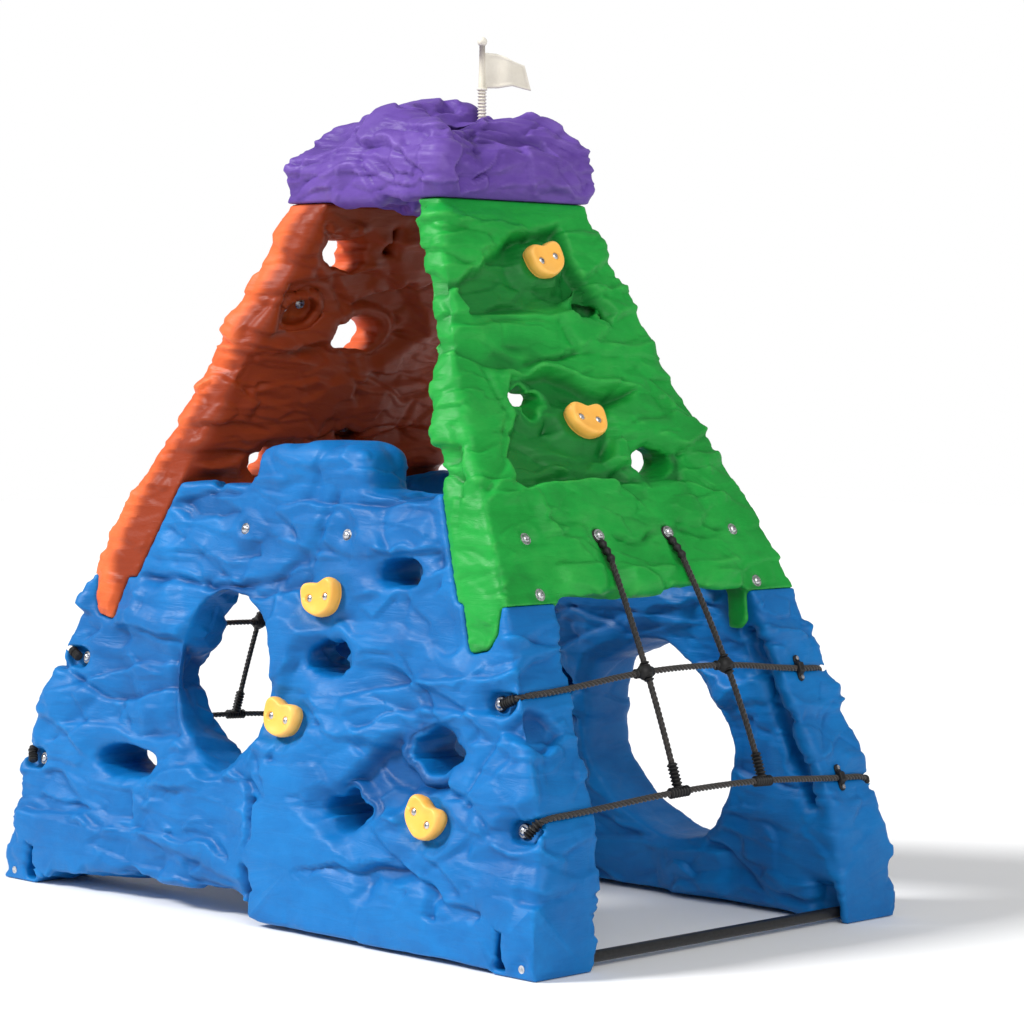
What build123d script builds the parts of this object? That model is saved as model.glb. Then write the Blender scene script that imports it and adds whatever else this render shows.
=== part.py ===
from build123d import *
from math import cos, pi, radians, sin, tan
import os

# A free-standing climbing wall: two lower walls, two upper walls set on their
# end posts, a rock-shaped cap with a turning flag, two rope nets, two floor
# tubes and bolted handholds.  Millimetres, +Z up, origin on the floor under
# the middle; the front lower wall faces -Y and the right upper wall faces +X.

os.makedirs("parts", exist_ok=True)

# overall sizes
base_half_width = 691.0
base_half_depth = 440.0
wall_top = 1227.0

# heights where the outer faces change slope
foot_top = 210.0
shoulder = 600.0
saddle = 720.0
neck = 900.0

# how far each face has leaned in at those heights
width_lean = {0.0: 0.0, foot_top: 15.0, shoulder: 172.0, saddle: 239.0, neck: 354.0, wall_top: 499.0}
depth_lean = {0.0: 0.0, foot_top: 29.0, shoulder: 95.0, saddle: 120.0, neck: 172.0, wall_top: 264.0}

# lower walls
foot_thickness = 131.0        # front to back at the floor
inner_lean = 0.126            # lean of the inner face per millimetre of height
lower_top = 735.0
lump_top = 795.0
lump_half_width = 130.0
lump_shift = 14.0
lump_run = 26.0
arch_height = 42.0
foot_length = 95.0            # flat foot at each end
boulder_height = 8.0
shell = 4.5                   # moulded wall thickness

# joint between lower and upper walls
joint_height = 562.0
tenon_height = 138.0          # post standing up into the upper wall
skin = 16.0                   # upper wall's lap over the post
lap_gap = 1.0                 # clearance between post and lap
outer_tab_inset = 14.0        # outer tab in from the post's corner
outer_tab_drop = 78.0
outer_tab_width = 92.0
outer_tab_side = 45.0         # straight side below the joint
outer_tab_bevel = 16.0        # corner cut off beside the tip
outer_tab_tip = 56.0          # tip in from the tab's near side
inner_tab_drop = 68.0
inner_tab_width = 44.0
inner_tab_thickness = 10.0
inner_tab_inset = 8.0
inner_tab_bevel = 15.0

# upper walls
right_root = 112.0            # depth at the joint
right_crest = 55.0            # depth at the top
left_root = 124.0
left_crest = 100.0
span_rise = 15.0              # rise of the arch in the lower edge
crest_web = 34.0              # solid web that takes the cap bolts

# fasteners
bolt_radius = 4.0
bolt_head_radius = 7.5
bolt_head_height = 5.0
washer_radius = 11.0
washer_thickness = 1.6
bolt_well_radius = 16.0
bolt_well_depth = 6.0
boss_wall = 9.0               # plastic left round a bolt or hole inside a hollow wall
corner_bolt_length = 62.0
panel_bolt_length = 48.0
panel_nut_radius = 8.0
panel_nut_height = 6.5
well_clearance = 2.0          # hanger wells are this much deeper than the bolt wells
hold_bolt_radius = 3.0
hold_head_radius = 5.5
hold_head_height = 4.0
hold_bolt_spacing = 38.0
hold_bore_gap = 0.25          # clearance round a handhold's bolt
nut_radius = 6.5
nut_height = 5.0
hold_washer_radius = 9.5
hold_grip = 46.0              # wall left between a handhold and its nuts
nut_bay_width = 86.0
nut_bay_height = 52.0

# handholds
hold_thickness = 27.0
hold_lobe = 21.0
hold_lobes = [                # centre and share of hold_lobe
    (-27.0, -2.0, 0.82), (-10.0, 11.0, 0.72), (24.0, 5.0, 1.0), (4.0, -12.0, 0.78), (38.0, -6.0, 0.45),
]
hold_counterbore = 9.0

# floor tubes and their screws
tube_radius = 9.5
tube_wall = 1.5
tube_height = 16.0
tube_inset = 31.0             # tube axis in from the foot's end face
tube_gap = 0.2
tube_stop = 31.0              # plastic left between tube end and outer face
insert_length = 26.0
foot_screw_radius = 3.2
foot_screw_head = 6.5
foot_screw_head_height = 3.5
foot_screw_sink = 3.0         # head lies this deep in the foot
foot_slot_width = 36.0
foot_slot_height = 85.0
foot_slot_depth = 30.0
foot_slot_inset = 100.0
foot_bay_length = 62.0
foot_bay_height = 75.0
foot_bay_depth = 36.0
post_length = 128.0           # solid end of a lower wall, from its outer end to its hollow

# channel down the inner face beside each post
channel_width = 34.0
channel_inset = 28.0
channel_depth = 38.0
channel_low = 190.0
channel_high = 500.0

# rope nets
rope_radius = 5.5
groove_gap = 1.0
anchor_heights = {"upper": 413.0, "lower": 224.0}
anchor_insets = {"upper": 58.0, "lower": 48.0}
edge_heights = {"upper": 429.0, "lower": 246.0}
net_heights = {"upper": 450.0, "lower": 264.0}
net_proud = {"upper": 17.0, "lower": 27.0}
net_half_spacing = {"upper": 99.0, "lower": 104.0}
hanger_half_spacing = 84.0
hanger_height = 666.0
ferrule_radius = 8.5
eye_thickness = 6.0
ferrule_length = 27.0
anchor_well_depth = 20.0
anchor_well_radius = 19.0
cross_radius = 15.0
cross_collar_radius = 8.5
cross_collar_length = 46.0
tee_radius = 9.0
tee_arm = 46.0
tee_stem = 44.0
crimp_drop = 44.0             # rope starts this far below its hanger bolt
hanger_notch_length = 62.0
rope_stack = 12.4             # spacing of two ropes that pass inside a connector
clip_width = 13.0
clip_length = 46.0
clip_thickness = 4.0
clip_inset = 42.0             # clip in from the post's inner edge
clip_screw_spacing = 34.0
clip_screw_radius = 2.0
clip_screw_head = 3.6

# cap and flag
cap_overhang = 10.0
cap_rise = 168.0
cap_bolt_inset = 26.0
cap_bolt_spots = {1: (-96.0, 96.0), 3: (-118.0, -8.0)}     # along the right and left upper walls
cap_bolt_length = 62.0
cap_shell = 5.0
flag_x = 75.0
flag_y = 36.0
flag_seat_drop = 28.0         # flag seat below the cap's highest point
stem_radius = 7.0
stem_gap = 0.05
stem_depth = 52.0
sleeve_height = 58.0
ring_radius = 9.2
pole_height = 74.0
pole_radius = 5.0
ball_radius = 8.6
flag_width = 86.0
flag_height = 62.0
flag_drop = 14.0              # how much the fly end hangs below the hoist end
flag_thickness = 3.0
flag_turn = 45.0              # direction of the flag at rest, from +X

panel_nut_seat = bolt_well_depth + panel_bolt_length - 12.0
levels = [0.0, foot_top, shoulder, saddle, neck, wall_top]


def between(height, table):
    """Straight-line value at a height from a table of heights and values."""
    for low, high in zip(levels[:-1], levels[1:]):
        if height <= high:
            share = (height - low) / (high - low)
            return table[low] + share * (table[high] - table[low])
    return table[levels[-1]]


def half_width(height):
    return base_half_width - between(height, width_lean)


def half_depth(height):
    return base_half_depth - between(height, depth_lean)


def inner_depth(height):
    """Distance from the middle to a lower wall's inner face."""
    return base_half_depth - foot_thickness - inner_lean * height


def upper_inner(height, root, crest):
    """Distance from the middle to an upper wall's inner face."""
    low = half_width(joint_height) - root
    high = half_width(wall_top) - crest
    return low + (height - joint_height) / (wall_top - joint_height) * (high - low)


def prism_along_x(points, half_length):
    """Solid with a (y, z) outline, running from -half_length to +half_length along X."""
    sheet = make_face(Polyline([Vector(-half_length, y, z) for y, z in points], close=True))
    return extrude(sheet, amount=2 * half_length, dir=(1, 0, 0))


def prism_along_y(points, low, high):
    """Solid with an (x, z) outline, running from y = low to y = high."""
    sheet = make_face(Polyline([Vector(x, low, z) for x, z in points], close=True))
    return extrude(sheet, amount=high - low, dir=(0, 1, 0))


def oval_along_y(place, radii, low, high):
    """Round-ended hole through a wall, running from y = low to y = high."""
    plane = Plane(origin=(place[0], low, place[1]), x_dir=(1, 0, 0), z_dir=(0, 1, 0))
    return extrude(plane * Ellipse(radii[0], radii[1]), amount=high - low)


def rod(plane, radius, start, end):
    """Cylinder on a plane's axis from start to end along its normal."""
    return extrude(plane.offset(start) * Circle(radius), amount=end - start)


def steps(low, high):
    """Slope-change heights from low to high, both ends included."""
    inside = [level for level in levels if low < level < high]
    return [low] + inside + [high]


def face_plane(half_size, along, height, inset=0.0):
    """Plane on a wall's outer face in the wall's own frame, normal outwards."""
    rise = 10.0
    low = min(height, wall_top - rise)
    slope = (half_size(low) - half_size(low + rise)) / rise
    origin = (along, -half_size(height) + inset, height)
    return Plane(origin=origin, x_dir=(1, 0, 0), z_dir=(0, -1, slope))


def spun(plane, angle):
    """Plane turned about its own normal."""
    x_dir = plane.x_dir * cos(radians(angle)) + plane.y_dir * sin(radians(angle))
    return Plane(origin=plane.origin, x_dir=x_dir, z_dir=plane.z_dir)


def turned(shape, quarter):
    """Shape made in the front wall's frame, turned to wall 0, 1, 2 or 3."""
    return shape.rotate(Axis.Z, 90 * quarter) if quarter else shape


def save(name, shape):
    export_step(shape, "parts/" + name + ".step")


def group(shapes):
    return Compound(children=list(shapes))


# ---------------------------------------------------------------- ropes

def net_points(level):
    """Right-hand net rope from the middle of the front ferrule to the back one."""
    anchor_z = anchor_heights[level]
    edge_z = edge_heights[level]
    net_z = net_heights[level]
    anchor_x = half_width(anchor_z) - anchor_insets[level]
    start_x = anchor_x + ferrule_length
    face_y = half_depth(anchor_z)
    edge_x = half_width(edge_z)
    inner_y = inner_depth(edge_z)
    half = [
        Vector(start_x, -face_y + rope_radius + 1.0, anchor_z + 4.0),
        Vector(edge_x - 2.0, -half_depth(edge_z) + 3.0, edge_z - 3.0),
        Vector(edge_x + 1.0, -inner_y - 30.0, edge_z),
        Vector(half_width(net_z) + net_proud[level], -net_half_spacing[level], net_z),
    ]
    other = [Vector(p.X, -p.Y, p.Z) for p in reversed(half)]
    return half + other


def corner_radii(points, tightest):
    """Bend radius at each inner point: 0.45 of the shorter run over tan of half the turn."""
    radii = []
    for before, here, after in zip(points[:-2], points[1:-1], points[2:]):
        first = here - before
        second = after - here
        turn = radians(first.get_angle(second))
        radius = 0.45 * min(first.length, second.length) / tan(turn / 2)
        radii.append(min(radius, tightest) if turn > radians(50) else radius)
    return radii


def rope(points, radius, tightest=16.0):
    """Plain tube along straight runs joined by tangent arcs."""
    radii = corner_radii(points, tightest)
    path = FilletPolyline(points, radius=radii)
    start = Plane(origin=points[0], z_dir=points[1] - points[0])
    tube = sweep(start * Circle(radius), path=path)
    return tube, path, radii


def hanger_points(hand):
    """Hanging rope of the right-hand net from its eye to its tee; hand is -1 or +1 along Y."""
    top_x = half_width(hanger_height)
    lower = Vector(half_width(net_heights["lower"]) + net_proud["lower"],
                   hand * net_half_spacing["lower"], net_heights["lower"])
    upper = Vector(half_width(net_heights["upper"]) + net_proud["upper"],
                   hand * net_half_spacing["upper"], net_heights["upper"])
    eye = Vector(top_x, hand * hanger_half_spacing, hanger_height)
    outward = net_outward()
    down = (lower - eye).normalized()
    return [
        eye + outward * (washer_thickness + rope_radius + 1.0) + down * crimp_drop,
        upper + outward * rope_stack,
        lower - down * tee_stem + outward * 2.0,
    ]


def net_outward():
    """Outward direction square to the net."""
    low = net_heights["lower"]
    high = net_heights["upper"]
    run = (half_width(low) + net_proud["lower"]) - (half_width(high) + net_proud["upper"])
    return Vector(high - low, 0, run).normalized()


# ---------------------------------------------------------------- handholds

def hold_on(seat):
    """Lobed handhold standing on a wall face, with two counterbored bolt holes."""
    discs = [Pos(x, y) * Circle(hold_lobe * size) for x, y, size in hold_lobes]
    outline = discs[0]
    for disc in discs[1:]:
        outline = outline + disc
    body = extrude(seat * outline, amount=hold_thickness)
    for place in hold_bolt_places(seat):
        body = body - rod(place, hold_bolt_radius + hold_bore_gap, -1.0, hold_thickness + 1.0)
        head_seat = hold_thickness - hold_counterbore
        body = body - rod(place, hold_head_radius + 1.0, head_seat, hold_thickness + 1.0)
    return body


def hold_bolt_places(seat):
    """Axes of a handhold's two bolts."""
    half = hold_bolt_spacing / 2
    ends = [seat.from_local_coords((-half, 0, 0)), seat.from_local_coords((half, 0, 0))]
    return [Plane(origin=end, x_dir=seat.x_dir, z_dir=seat.z_dir) for end in ends]


def hold_bolt(place):
    """Bolt from a handhold's counterbore to its nut."""
    seat = hold_thickness - hold_counterbore
    shank = rod(place, hold_bolt_radius, -hold_grip - nut_height - 3.0, seat)
    head = rod(place, hold_head_radius, seat, seat + hold_head_height)
    return shank + head


def hold_nut(place):
    """Nut with its washer against the floor of the nut bay."""
    washer = rod(place, hold_washer_radius, -hold_grip - washer_thickness, -hold_grip)
    hexagon = place.offset(-hold_grip - washer_thickness) * RegularPolygon(nut_radius, 6)
    nut = extrude(hexagon, amount=-nut_height)
    return washer + nut - rod(place, hold_bolt_radius, -hold_grip - 20.0, 0.0)


def nut_bay(seat, reach, grow=0.0):
    """Pocket in the inner face that leaves hold_grip of wall behind a handhold."""
    width = nut_bay_width + 2 * grow
    height = nut_bay_height + 2 * grow
    floor = seat.offset(-hold_grip + grow)
    return extrude(floor * SlotOverall(width, height), amount=-reach)


# ---------------------------------------------------------------- bolts

def bolt(plane, length, depth):
    """Dome-headed bolt with a washer, its washer lying depth below the face."""
    seat = -depth
    shank = rod(plane, bolt_radius, seat - length, seat + washer_thickness)
    head_low = seat + washer_thickness
    head = rod(plane, bolt_head_radius, head_low, head_low + bolt_head_height)
    head = fillet(head.edges().sort_by(lambda edge: -abs(plane.to_local_coords(edge.center()).Z))[0], 2.5)
    return shank + head


def washer(plane, depth):
    ring = rod(plane, washer_radius, -depth, -depth + washer_thickness)
    return ring - rod(plane, bolt_radius, -depth - 1.0, -depth + washer_thickness + 1.0)


# ---------------------------------------------------------------- wall layouts
# Each wall is laid out in its own frame: x along the wall, to the right when
# it is faced from outside, z up, the outer face towards -y.

front_holes = [
    ((-132.0, 405.0), (128.0, 141.0)),
    ((-372.0, 240.0), (86.0, 31.0)),
    ((132.0, 457.0), (56.0, 31.0)),
    ((274.0, 602.0), (50.0, 21.0)),
    ((413.0, 326.0), (72.0, 33.0)),
    ((222.0, 214.0), (57.0, 32.0)),
]
front_flares = {0: (-34.0, 24.0), 2: (-36.0, 16.0)}      # hole: shift and growth at the inner face
front_holds = [((109.0, 552.0), 8.0), ((50.0, 348.0), 172.0), ((423.0, 220.0), 152.0)]

back_holes = [
    ((-275.0, 281.0), (172.0, 172.0)),
    ((-32.0, 262.0), (38.0, 30.0)),
    ((330.0, 300.0), (78.0, 34.0)),
    ((170.0, 540.0), (60.0, 30.0)),
    ((-330.0, 585.0), (48.0, 22.0)),
]
back_holds = [((-58.0, 385.0), 10.0), ((150.0, 380.0), 165.0), ((385.0, 490.0), 20.0)]

right_holes = [((-115.0, 886.0), (36.0, 26.0)), ((127.0, 782.0), (44.0, 27.0))]
right_pockets = [((90.0, 1038.0), (44.0, 15.0))]
right_holds = [((19.0, 1119.0), 15.0), ((-12.0, 845.0), 170.0)]

left_holes = [
    ((92.0, 1145.0), (46.0, 30.0)),
    ((0.0, 1000.0), (60.0, 32.0)),
    ((118.0, 768.0), (58.0, 36.0)),
]
left_pockets = [((-120.0, 905.0), (40.0, 18.0))]
left_holds = [((-52.0, 856.0), 12.0), ((150.0, 1068.0), 168.0)]

panel_bolt_spots = [(-132.0, 660.0), (132.0, 660.0)]
corner_bolt_spots = [(26.0, 667.0), (27.0, 579.0)]     # in from the post's inner face, height
pocket_depth = 30.0

roots = {1: (right_root, right_crest), 3: (left_root, left_crest)}


# ---------------------------------------------------------------- lower walls

def band(outer_inset, inner_inset, low, high):
    """(y, z) outline between a lower wall's outer and inner faces."""
    outer = [(-half_depth(z) + outer_inset, z) for z in steps(low, high)]
    inner = [(-inner_depth(z) - inner_inset, z) for z in (high, low)]
    return outer + inner


def upper_over(quarter, hand):
    """Root and crest depth of the upper wall that sits on one end of a lower wall."""
    side = 1 if (quarter == 0) == (hand > 0) else 3
    return roots[side]


def lower_edge(quarter, hand):
    """(x, z) points up one end of a lower wall, from its foot to its top edge."""
    root, crest = upper_over(quarter, hand)
    lap = skin + lap_gap
    tenon_top = joint_height + tenon_height
    points = [(half_width(z), z) for z in steps(0.0, joint_height)]
    points += [(half_width(z) - lap, z) for z in steps(joint_height, tenon_top)]
    points += [(upper_inner(z, root, crest) - lap_gap, z) for z in (tenon_top, lower_top)]
    return [(hand * x, z) for x, z in points]


def lower_outline(quarter):
    """(x, z) outline of a lower wall."""
    foot = base_half_width - foot_length
    low = arch_height if quarter == 0 else boulder_height
    under = [(-foot, 0.0), (-foot + 48.0, low), (-40.0, low), (30.0, boulder_height)]
    under += [(foot - 20.0, boulder_height), (foot, 0.0)]
    left = lump_shift - lump_half_width
    right = lump_shift + lump_half_width
    top = [(right + lump_run, lower_top), (right, lump_top), (left, lump_top), (left - lump_run, lower_top)]
    return under + lower_edge(quarter, 1) + top + list(reversed(lower_edge(quarter, -1)))


def outer_tab(hand, grow=0.0):
    """(x, z) outline of the upper wall's tab that hangs over a lower wall's outer face."""
    right = half_width(joint_height) - outer_tab_inset
    low = joint_height - outer_tab_drop
    points = [
        (right + grow, joint_height + skin),
        (right + grow, joint_height - outer_tab_side),
        (right - outer_tab_bevel + grow, low + outer_tab_bevel / 2 - grow),
        (right - outer_tab_tip - grow, low - grow),
        (right - outer_tab_width - grow, joint_height + skin),
    ]
    return [(hand * x, z) for x, z in points]


def inner_tab(hand):
    """(x, z) outline of the upper wall's tab that hangs behind a post."""
    right = half_width(joint_height) - inner_tab_inset
    low = joint_height - inner_tab_drop
    points = [(right, joint_height + skin), (right, low + inner_tab_bevel), (right - inner_tab_bevel, low)]
    points += [(right - inner_tab_width, low), (right - inner_tab_width, joint_height + skin)]
    return [(hand * x, z) for x, z in points]


def channel(hand, grow=0.0):
    """Channel down a lower wall's inner face beside the post."""
    points = []
    for z in (channel_low - grow, foot_top, channel_high + grow):
        points.append((half_width(z) - channel_inset + grow, z))
    for z in (channel_high + grow, foot_top, channel_low - grow):
        points.append((half_width(z) - channel_inset - channel_width - grow, z))
    outline = [(hand * x, z) for x, z in points]
    floor = band(0.0, channel_depth + grow, 0.0, lump_top)
    behind = prism_along_y(outline, -base_half_depth, 0.0)
    return behind - prism_along_x(floor, base_half_width)


def anchor_plane(level, hand):
    """Plane of a net rope's anchor bolt on a lower wall's outer face."""
    height = anchor_heights[level]
    return face_plane(half_depth, hand * (half_width(height) - anchor_insets[level]), height)


def anchor_well(level, hand, grow=0.0):
    """Slot in the outer face that holds a rope end and its bolt."""
    plane = anchor_plane(level, hand)
    length = ferrule_length + 2 * anchor_well_radius
    outline = SlotOverall(length + 2 * grow, 2 * (anchor_well_radius + grow))
    slot = Pos(hand * ferrule_length / 2, 0) * outline
    floor = plane.offset(-anchor_well_depth - grow)
    return extrude(floor * slot, amount=anchor_well_depth + 30.0)


def foot_cuts(hand):
    """Slot, bay, tube hole and screw hole in the foot at one end."""
    axis_x = hand * (base_half_width - tube_inset)
    tube_axis = Plane(origin=(axis_x, -base_half_depth, tube_height), x_dir=(1, 0, 0), z_dir=(0, -1, 0))
    reach = base_half_depth
    slot_x = hand * (base_half_width - foot_slot_inset + foot_slot_width / 2)
    slot = Pos(slot_x, -base_half_depth + foot_slot_depth / 2, foot_slot_height / 2)
    slot = slot * Box(foot_slot_width, foot_slot_depth + 20.0, foot_slot_height - 2 * foot_screw_head)
    bay_x = hand * (base_half_width - 2 * tube_inset + foot_bay_length / 4)
    bay_y = -inner_depth(0.0) - foot_bay_depth / 2 + 20.0
    bay = Pos(bay_x, bay_y, 0.0) * Box(foot_bay_length, foot_bay_depth + 40.0, 2 * foot_bay_height)
    tube_hole = rod(tube_axis, tube_radius + tube_gap, -reach, -tube_stop)
    screw_hole = rod(tube_axis, foot_screw_radius + tube_gap, -tube_stop - 5.0, 5.0)
    head_seat = rod(tube_axis, foot_screw_head + 1.5, -foot_screw_head_height - foot_screw_sink, 5.0)
    return [slot, bay, tube_hole, screw_hole, head_seat]


def post_bolt_planes(hand):
    """Planes of the bolts that fix an upper wall's skin to the post at one end of it."""
    planes = []
    for inset, height in corner_bolt_spots:
        planes.append(face_plane(half_width, hand * (inner_depth(height) + inset), height))
    return planes


def wall_seats(half_size, holds):
    """Face planes of a wall's handholds, turned as each is mounted."""
    return [spun(face_plane(half_size, x, z), turn) for (x, z), turn in holds]


def hold_holes(seats):
    """Bolt holes and nut bays behind a wall's handholds."""
    cuts = []
    for seat in seats:
        for axis in hold_bolt_places(seat):
            cuts.append(rod(axis, hold_bolt_radius + hold_bore_gap, -hold_grip - 1.0, 1.0))
        cuts.append(nut_bay(seat, 200.0))
    return cuts


def hold_bosses(seats):
    """Solid plastic round a wall's handhold bolts and nut bays."""
    solid = []
    for seat in seats:
        for axis in hold_bolt_places(seat):
            solid.append(rod(axis, hold_bolt_radius + boss_wall, -hold_grip - 2.0, 1.0))
        solid.append(nut_bay(seat, 200.0, shell))
    return solid


def cut_all(shape, tools):
    for tool in tools:
        shape = shape - tool
    return shape


def wall_holes(holes, flares, grow=0.0):
    """Hand and crawl holes through a lower wall; a flared one widens towards the inner face."""
    cuts = []
    for number, (place, (rx, rz)) in enumerate(holes):
        cut = oval_along_y(place, (rx + grow, rz + grow), -base_half_depth - 1.0, 0.0)
        if number in flares:
            shift, growth = flares[number]
            start = -half_depth(place[1])
            mouth = -inner_depth(place[1] + rz)
            planes = [Plane(origin=(place[0] + move, y, place[1]), x_dir=(1, 0, 0), z_dir=(0, 1, 0))
                      for move, y in ((0.0, start), (shift, mouth))]
            sections = [planes[0] * Ellipse(rx + grow, rz + grow)]
            sections.append(planes[1] * Ellipse(rx + growth + grow, rz + growth / 3 + grow))
            cut = cut + loft(sections)
        cuts.append(cut)
    return cuts


def lower_cavity(quarter, holes, flares, seats):
    """Hollow inside a lower wall, clear of its holes, bosses and posts."""
    floor = arch_height + shell
    under_joint = joint_height - 2 * shell
    right = [(half_width(z) - post_length, z) for z in steps(floor, under_joint)]
    sides = []
    for hand in (1, -1):
        root, crest = upper_over(quarter, hand)
        edge = upper_inner(lower_top, root, crest) - lap_gap - 2 * shell
        sides.append([(hand * x, z) for x, z in right + [(edge, lower_top - shell)]])
    left_lump = lump_shift - lump_half_width + shell
    right_lump = lump_shift + lump_half_width - shell
    top = [(right_lump, lower_top - shell), (right_lump, lump_top - shell)]
    top += [(left_lump, lump_top - shell), (left_lump, lower_top - shell)]
    outline = sides[0] + top + list(reversed(sides[1]))
    hollow = prism_along_y(outline, -base_half_depth, 0.0)
    hollow = hollow & prism_along_x(band(shell, shell, 0.0, lump_top), base_half_width)
    low = foot_slot_height + 3 * shell
    high = joint_height - outer_tab_drop - 2 * shell
    for hand in (1, -1):
        outer = [(half_width(z) - 3 * shell, z) for z in steps(low, high)]
        inner = [(half_width(z) - post_length - shell, z) for z in reversed(steps(low, high))]
        post = prism_along_y([(hand * x, z) for x, z in outer + inner], -base_half_depth, 0.0)
        inside = band(anchor_well_depth + 2 * shell, 2 * shell, 0.0, lump_top)
        post = post & prism_along_x(inside, base_half_width)
        hollow = hollow + post
    kept = wall_holes(holes, flares, shell)
    kept += hold_bosses(seats)
    for x, z in panel_bolt_spots:
        plane = face_plane(half_depth, x, z)
        kept.append(rod(plane, bolt_well_radius + shell, -200.0, -panel_nut_seat + shell))
        kept.append(rod(plane, bolt_well_radius + shell, -panel_nut_seat, 1.0))
    for hand in (1, -1):
        kept.append(channel(hand, shell))
        for level in anchor_heights:
            kept.append(rod(anchor_plane(level, hand), bolt_radius + boss_wall, -86.0, 0.0))
    return cut_all(hollow, kept)


def panel_bolt_cuts(spot):
    """Well, through hole and inner nut seat of one panel bolt."""
    plane = face_plane(half_depth, spot[0], spot[1])
    return [
        rod(plane, bolt_well_radius, -bolt_well_depth, 20.0),
        rod(plane, bolt_radius + tube_gap, -200.0, 1.0),
        rod(plane, bolt_well_radius, -200.0, -panel_nut_seat),
    ]


def lower_wall(quarter, holes, flares, holds, grooves):
    """Hollow lower wall in its own frame."""
    seats = wall_seats(half_depth, holds)
    body = prism_along_y(lower_outline(quarter), -base_half_depth - 1.0, 0.0)
    body = body & prism_along_x(band(0.0, 0.0, 0.0, lump_top), base_half_width + 1.0)
    tenon_band = prism_along_x(band(skin + lap_gap, lap_gap, joint_height, lump_top), base_half_width)
    for hand in (1, -1):
        root, crest = upper_over(quarter, hand)
        inner = [(upper_inner(z, root, crest) - lap_gap, z) for z in (lump_top, joint_height)]
        outer = [(half_width(z) + skin, z) for z in (joint_height, lump_top)]
        beside = prism_along_y([(hand * x, z) for x, z in inner + outer], -base_half_depth, 0.0)
        body = body - (beside - tenon_band)
        recess = prism_along_y(outer_tab(hand, lap_gap), -base_half_depth, 0.0)
        recess = recess - prism_along_x(band(skin + lap_gap, 0.0, 0.0, lump_top), base_half_width)
        body = body - recess
    body = body - lower_cavity(quarter, holes, flares, seats)
    cuts = wall_holes(holes, flares)
    cuts += hold_holes(seats)
    for spot in panel_bolt_spots:
        cuts += panel_bolt_cuts(spot)
    for hand in (1, -1):
        cuts.append(channel(hand))
        cuts += foot_cuts(hand)
        for level in anchor_heights:
            cuts.append(anchor_well(level, hand))
            cuts.append(rod(anchor_plane(level, hand), bolt_radius, -anchor_well_depth - 60.0, 0.0))
        side = 1 if hand > 0 else 3
        for plane in post_bolt_planes(-hand):
            cuts.append(turned(rod(plane, bolt_radius, -90.0, 0.0), side))
    return cut_all(body, cuts + grooves)


# ---------------------------------------------------------------- upper walls

def upper_profile(root, crest, inset, low, high):
    """(y, z) outline between an upper wall's outer and inner faces."""
    outer = [(-half_width(z) + inset, z) for z in steps(low, high)]
    inner = [(-upper_inner(z, root, crest) - inset, z) for z in (high, low)]
    return outer + inner


def upper_outline():
    """(x, z) outline of an upper wall, with its lower edge arched between the posts."""
    sides = [(half_depth(z), z) for z in steps(joint_height, wall_top)]
    post = inner_depth(joint_height)
    span = joint_height + span_rise
    under = [(-half_depth(joint_height), joint_height), (-post, joint_height)]
    under += [(-post / 2, span), (post / 2, span), (post, joint_height)]
    return under + sides + [(-x, z) for x, z in reversed(sides[1:])]


def socket(hand):
    """Space in an upper wall for a lower wall's post and its clearance."""
    low = joint_height - 1.0
    high = joint_height + tenon_height + lap_gap
    inner = [(inner_depth(z), z) for z in (high, low)]
    outer = [(half_depth(z) - skin, z) for z in steps(low, high)]
    outline = [(hand * x, z) for x, z in inner + outer]
    depth = [(-half_width(z) + skin, z) for z in steps(low, high)] + [(0.0, high), (0.0, low)]
    return prism_along_y(outline, -base_half_width, 0.0) & prism_along_x(depth, base_half_depth)


def upper_cavity(quarter, holes, pockets, seats):
    """Hollow inside an upper wall, clear of its holes and bosses."""
    root, crest = roots[quarter]
    low = joint_height + span_rise + shell
    step = joint_height + tenon_height + lap_gap + shell
    high = wall_top - crest_web
    right = [(inner_depth(z) - shell, z) for z in (low, step)]
    right += [(half_depth(z) - shell, z) for z in steps(step, high)]
    outline = right + [(-x, z) for x, z in reversed(right)]
    hollow = prism_along_y(outline, -base_half_width, 0.0)
    profile = upper_profile(root, crest, shell, joint_height, wall_top)
    hollow = hollow & prism_along_x(profile, base_half_depth)
    grown = [(place, (rx + shell, rz + shell)) for place, (rx, rz) in holes]
    kept = [oval_along_y(place, radii, -base_half_width, 0.0) for place, radii in grown]
    kept += [pocket_cut(place, radii, shell) for place, radii in pockets]
    kept += hold_bosses(seats)
    kept += [cap_bolt_lug(axis) for axis in cap_bolt_axes(quarter)]
    for hand in (1, -1):
        kept.append(rod(hanger_plane(hand), bolt_well_radius + shell, -70.0, 0.0))
        kept.append(hanger_notch(hand, shell))
    return cut_all(hollow, kept)


def pocket_cut(place, radii, grow=0.0):
    """Blind hand pocket in an upper wall's outer face."""
    plane = face_plane(half_width, place[0], place[1])
    mouth = Ellipse(radii[0] + grow, radii[1] + grow)
    return extrude(plane.offset(-pocket_depth - grow) * mouth, amount=pocket_depth + 30.0)


def hanger_notch(hand, grow=0.0):
    """Notch below a hanging rope's bolt that lets its crimped end lie in the face."""
    width = 2 * (ferrule_radius + 1.0 + grow)
    length = hanger_notch_length + grow
    outline = Pos(0, -length / 2) * Rectangle(width, length)
    floor = hanger_plane(hand).offset(-bolt_well_depth - well_clearance - grow)
    return extrude(floor * outline, amount=30.0)


def hanger_plane(hand):
    return face_plane(half_width, hand * hanger_half_spacing, hanger_height)


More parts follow.
